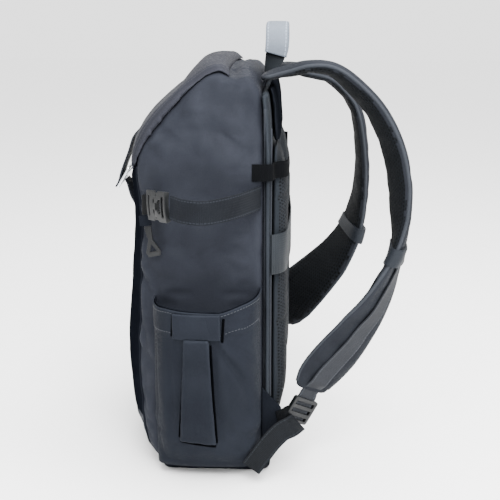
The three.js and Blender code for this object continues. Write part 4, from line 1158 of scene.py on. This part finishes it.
closure = {
    "closureTab": ("closure_tab", "bindingCloth", "webbing", 0.4 * mm),  # node, finish, slot, rounded edge
    "closureHook": ("closure_hook", "hookMetal", "bright_metal", 0.6 * mm),
    "closureWebbing": ("closure_webbing", "bindingCloth", "webbing", 0.4 * mm),
    "closurePatch": ("closure_patch", "bindingCloth", "webbing", 0.4 * mm),
}
for name, (node, finish, slot, edge) in closure.items():
    place(softened(node, name, finish, edge), slot, node)
print("front closure done")

# --- bands over the back

backBands = {
    "trolleyWidth": 44 * mm, "sideWidth": 18 * mm, "thickness": 1.6 * mm,
    "trolley": [(-0.1228, 0.0681, 0.2515), (-0.1155, 0.0764, 0.2515), (-0.1030, 0.0830, 0.2515),
                (-0.0726, 0.0848, 0.2515), (0, 0.0868, 0.2515)],
    "sideHeight": 0.3423, "sidePoints": {"right": 10, "left": 8},
    "side": [(0.1345, 0.0479), (0.1342, 0.0559), (0.1339, 0.0619), (0.1333, 0.0658), (0.1299, 0.0693),
             (0.1239, 0.0696), (0.1148, 0.0727), (0.1092, 0.0805), (0.0991, 0.0847), (0.0844, 0.0856)],
}
a = backBands
trolleyPath = a["trolley"] + [(-x, y, z) for x, y, z in a["trolley"][-2::-1]]
trolley = webbing("trolleyBand", trolleyPath, (0, 0, -1), 70, a["trolleyWidth"], a["thickness"], "bandWebbing")
place(trolley, "webbing", "trolley_band")
for side, sign in (("right", 1), ("left", -1)):
    path = [(sign * x, y, a["sideHeight"]) for x, y in a["side"][:a["sidePoints"][side]]]
    sideWeb = webbing("sideBand" + side.title(), path, (0, 0, 1), 50, a["sideWidth"], a["thickness"], "blackWebbing")
    place(sideWeb, "black_webbing", "side_band_" + side)
print("back bands done")

# --- handle

handle = {
    "path": [(0.0307, 0.0554, 0.4238), (0.0323, 0.0619, 0.4398), (0.0330, 0.0688, 0.4559), (0.0327, 0.0705, 0.4690),
             (0.0264, 0.0705, 0.4811), (0.0139, 0.0705, 0.4855), (0.0, 0.0705, 0.4860), (-0.0139, 0.0705, 0.4855),
             (-0.0264, 0.0705, 0.4811), (-0.0327, 0.0705, 0.4690), (-0.0330, 0.0688, 0.4559),
             (-0.0323, 0.0619, 0.4398), (-0.0307, 0.0554, 0.4238)],
    "rootWidth": 17 * mm, "widening": 5 * mm, "thickness": 1.8 * mm,
    "grip": (0.2, 0.8), "gripWidth": 25 * mm, "gripThickness": 4 * mm, "gripLift": 3.2 * mm,
}


def handleAcross(share):
    turn = min(1, max(0, (min(share, 1 - share) - 0.03) / 0.17)) * math.pi / 2
    return (math.cos(turn) * (1 if share < 0.5 else -1), math.sin(turn), 0)


def handleWidth(share):
    return handle["rootWidth"] + handle["widening"] * min(1, 5 * min(share, 1 - share))


band = webbing("handleWebbing", handle["path"], handleAcross, 80, handleWidth, handle["thickness"], "handleBand")
place(band, "black_webbing", "handle_webbing")
stations = stationsAlong(handle["path"], handleAcross, 60, *handle["grip"])
upward = 1 if stations[len(stations) // 2]["out"].z > 0 else -1
bm = sweep(stations, padSection, handle["gripWidth"], handle["gripThickness"], upward * handle["gripLift"])
grip = finishMesh(bm, "handleGrip", ["gripCloth"])
place(grip, "grip_cloth", "handle_grip")
print("handle done")
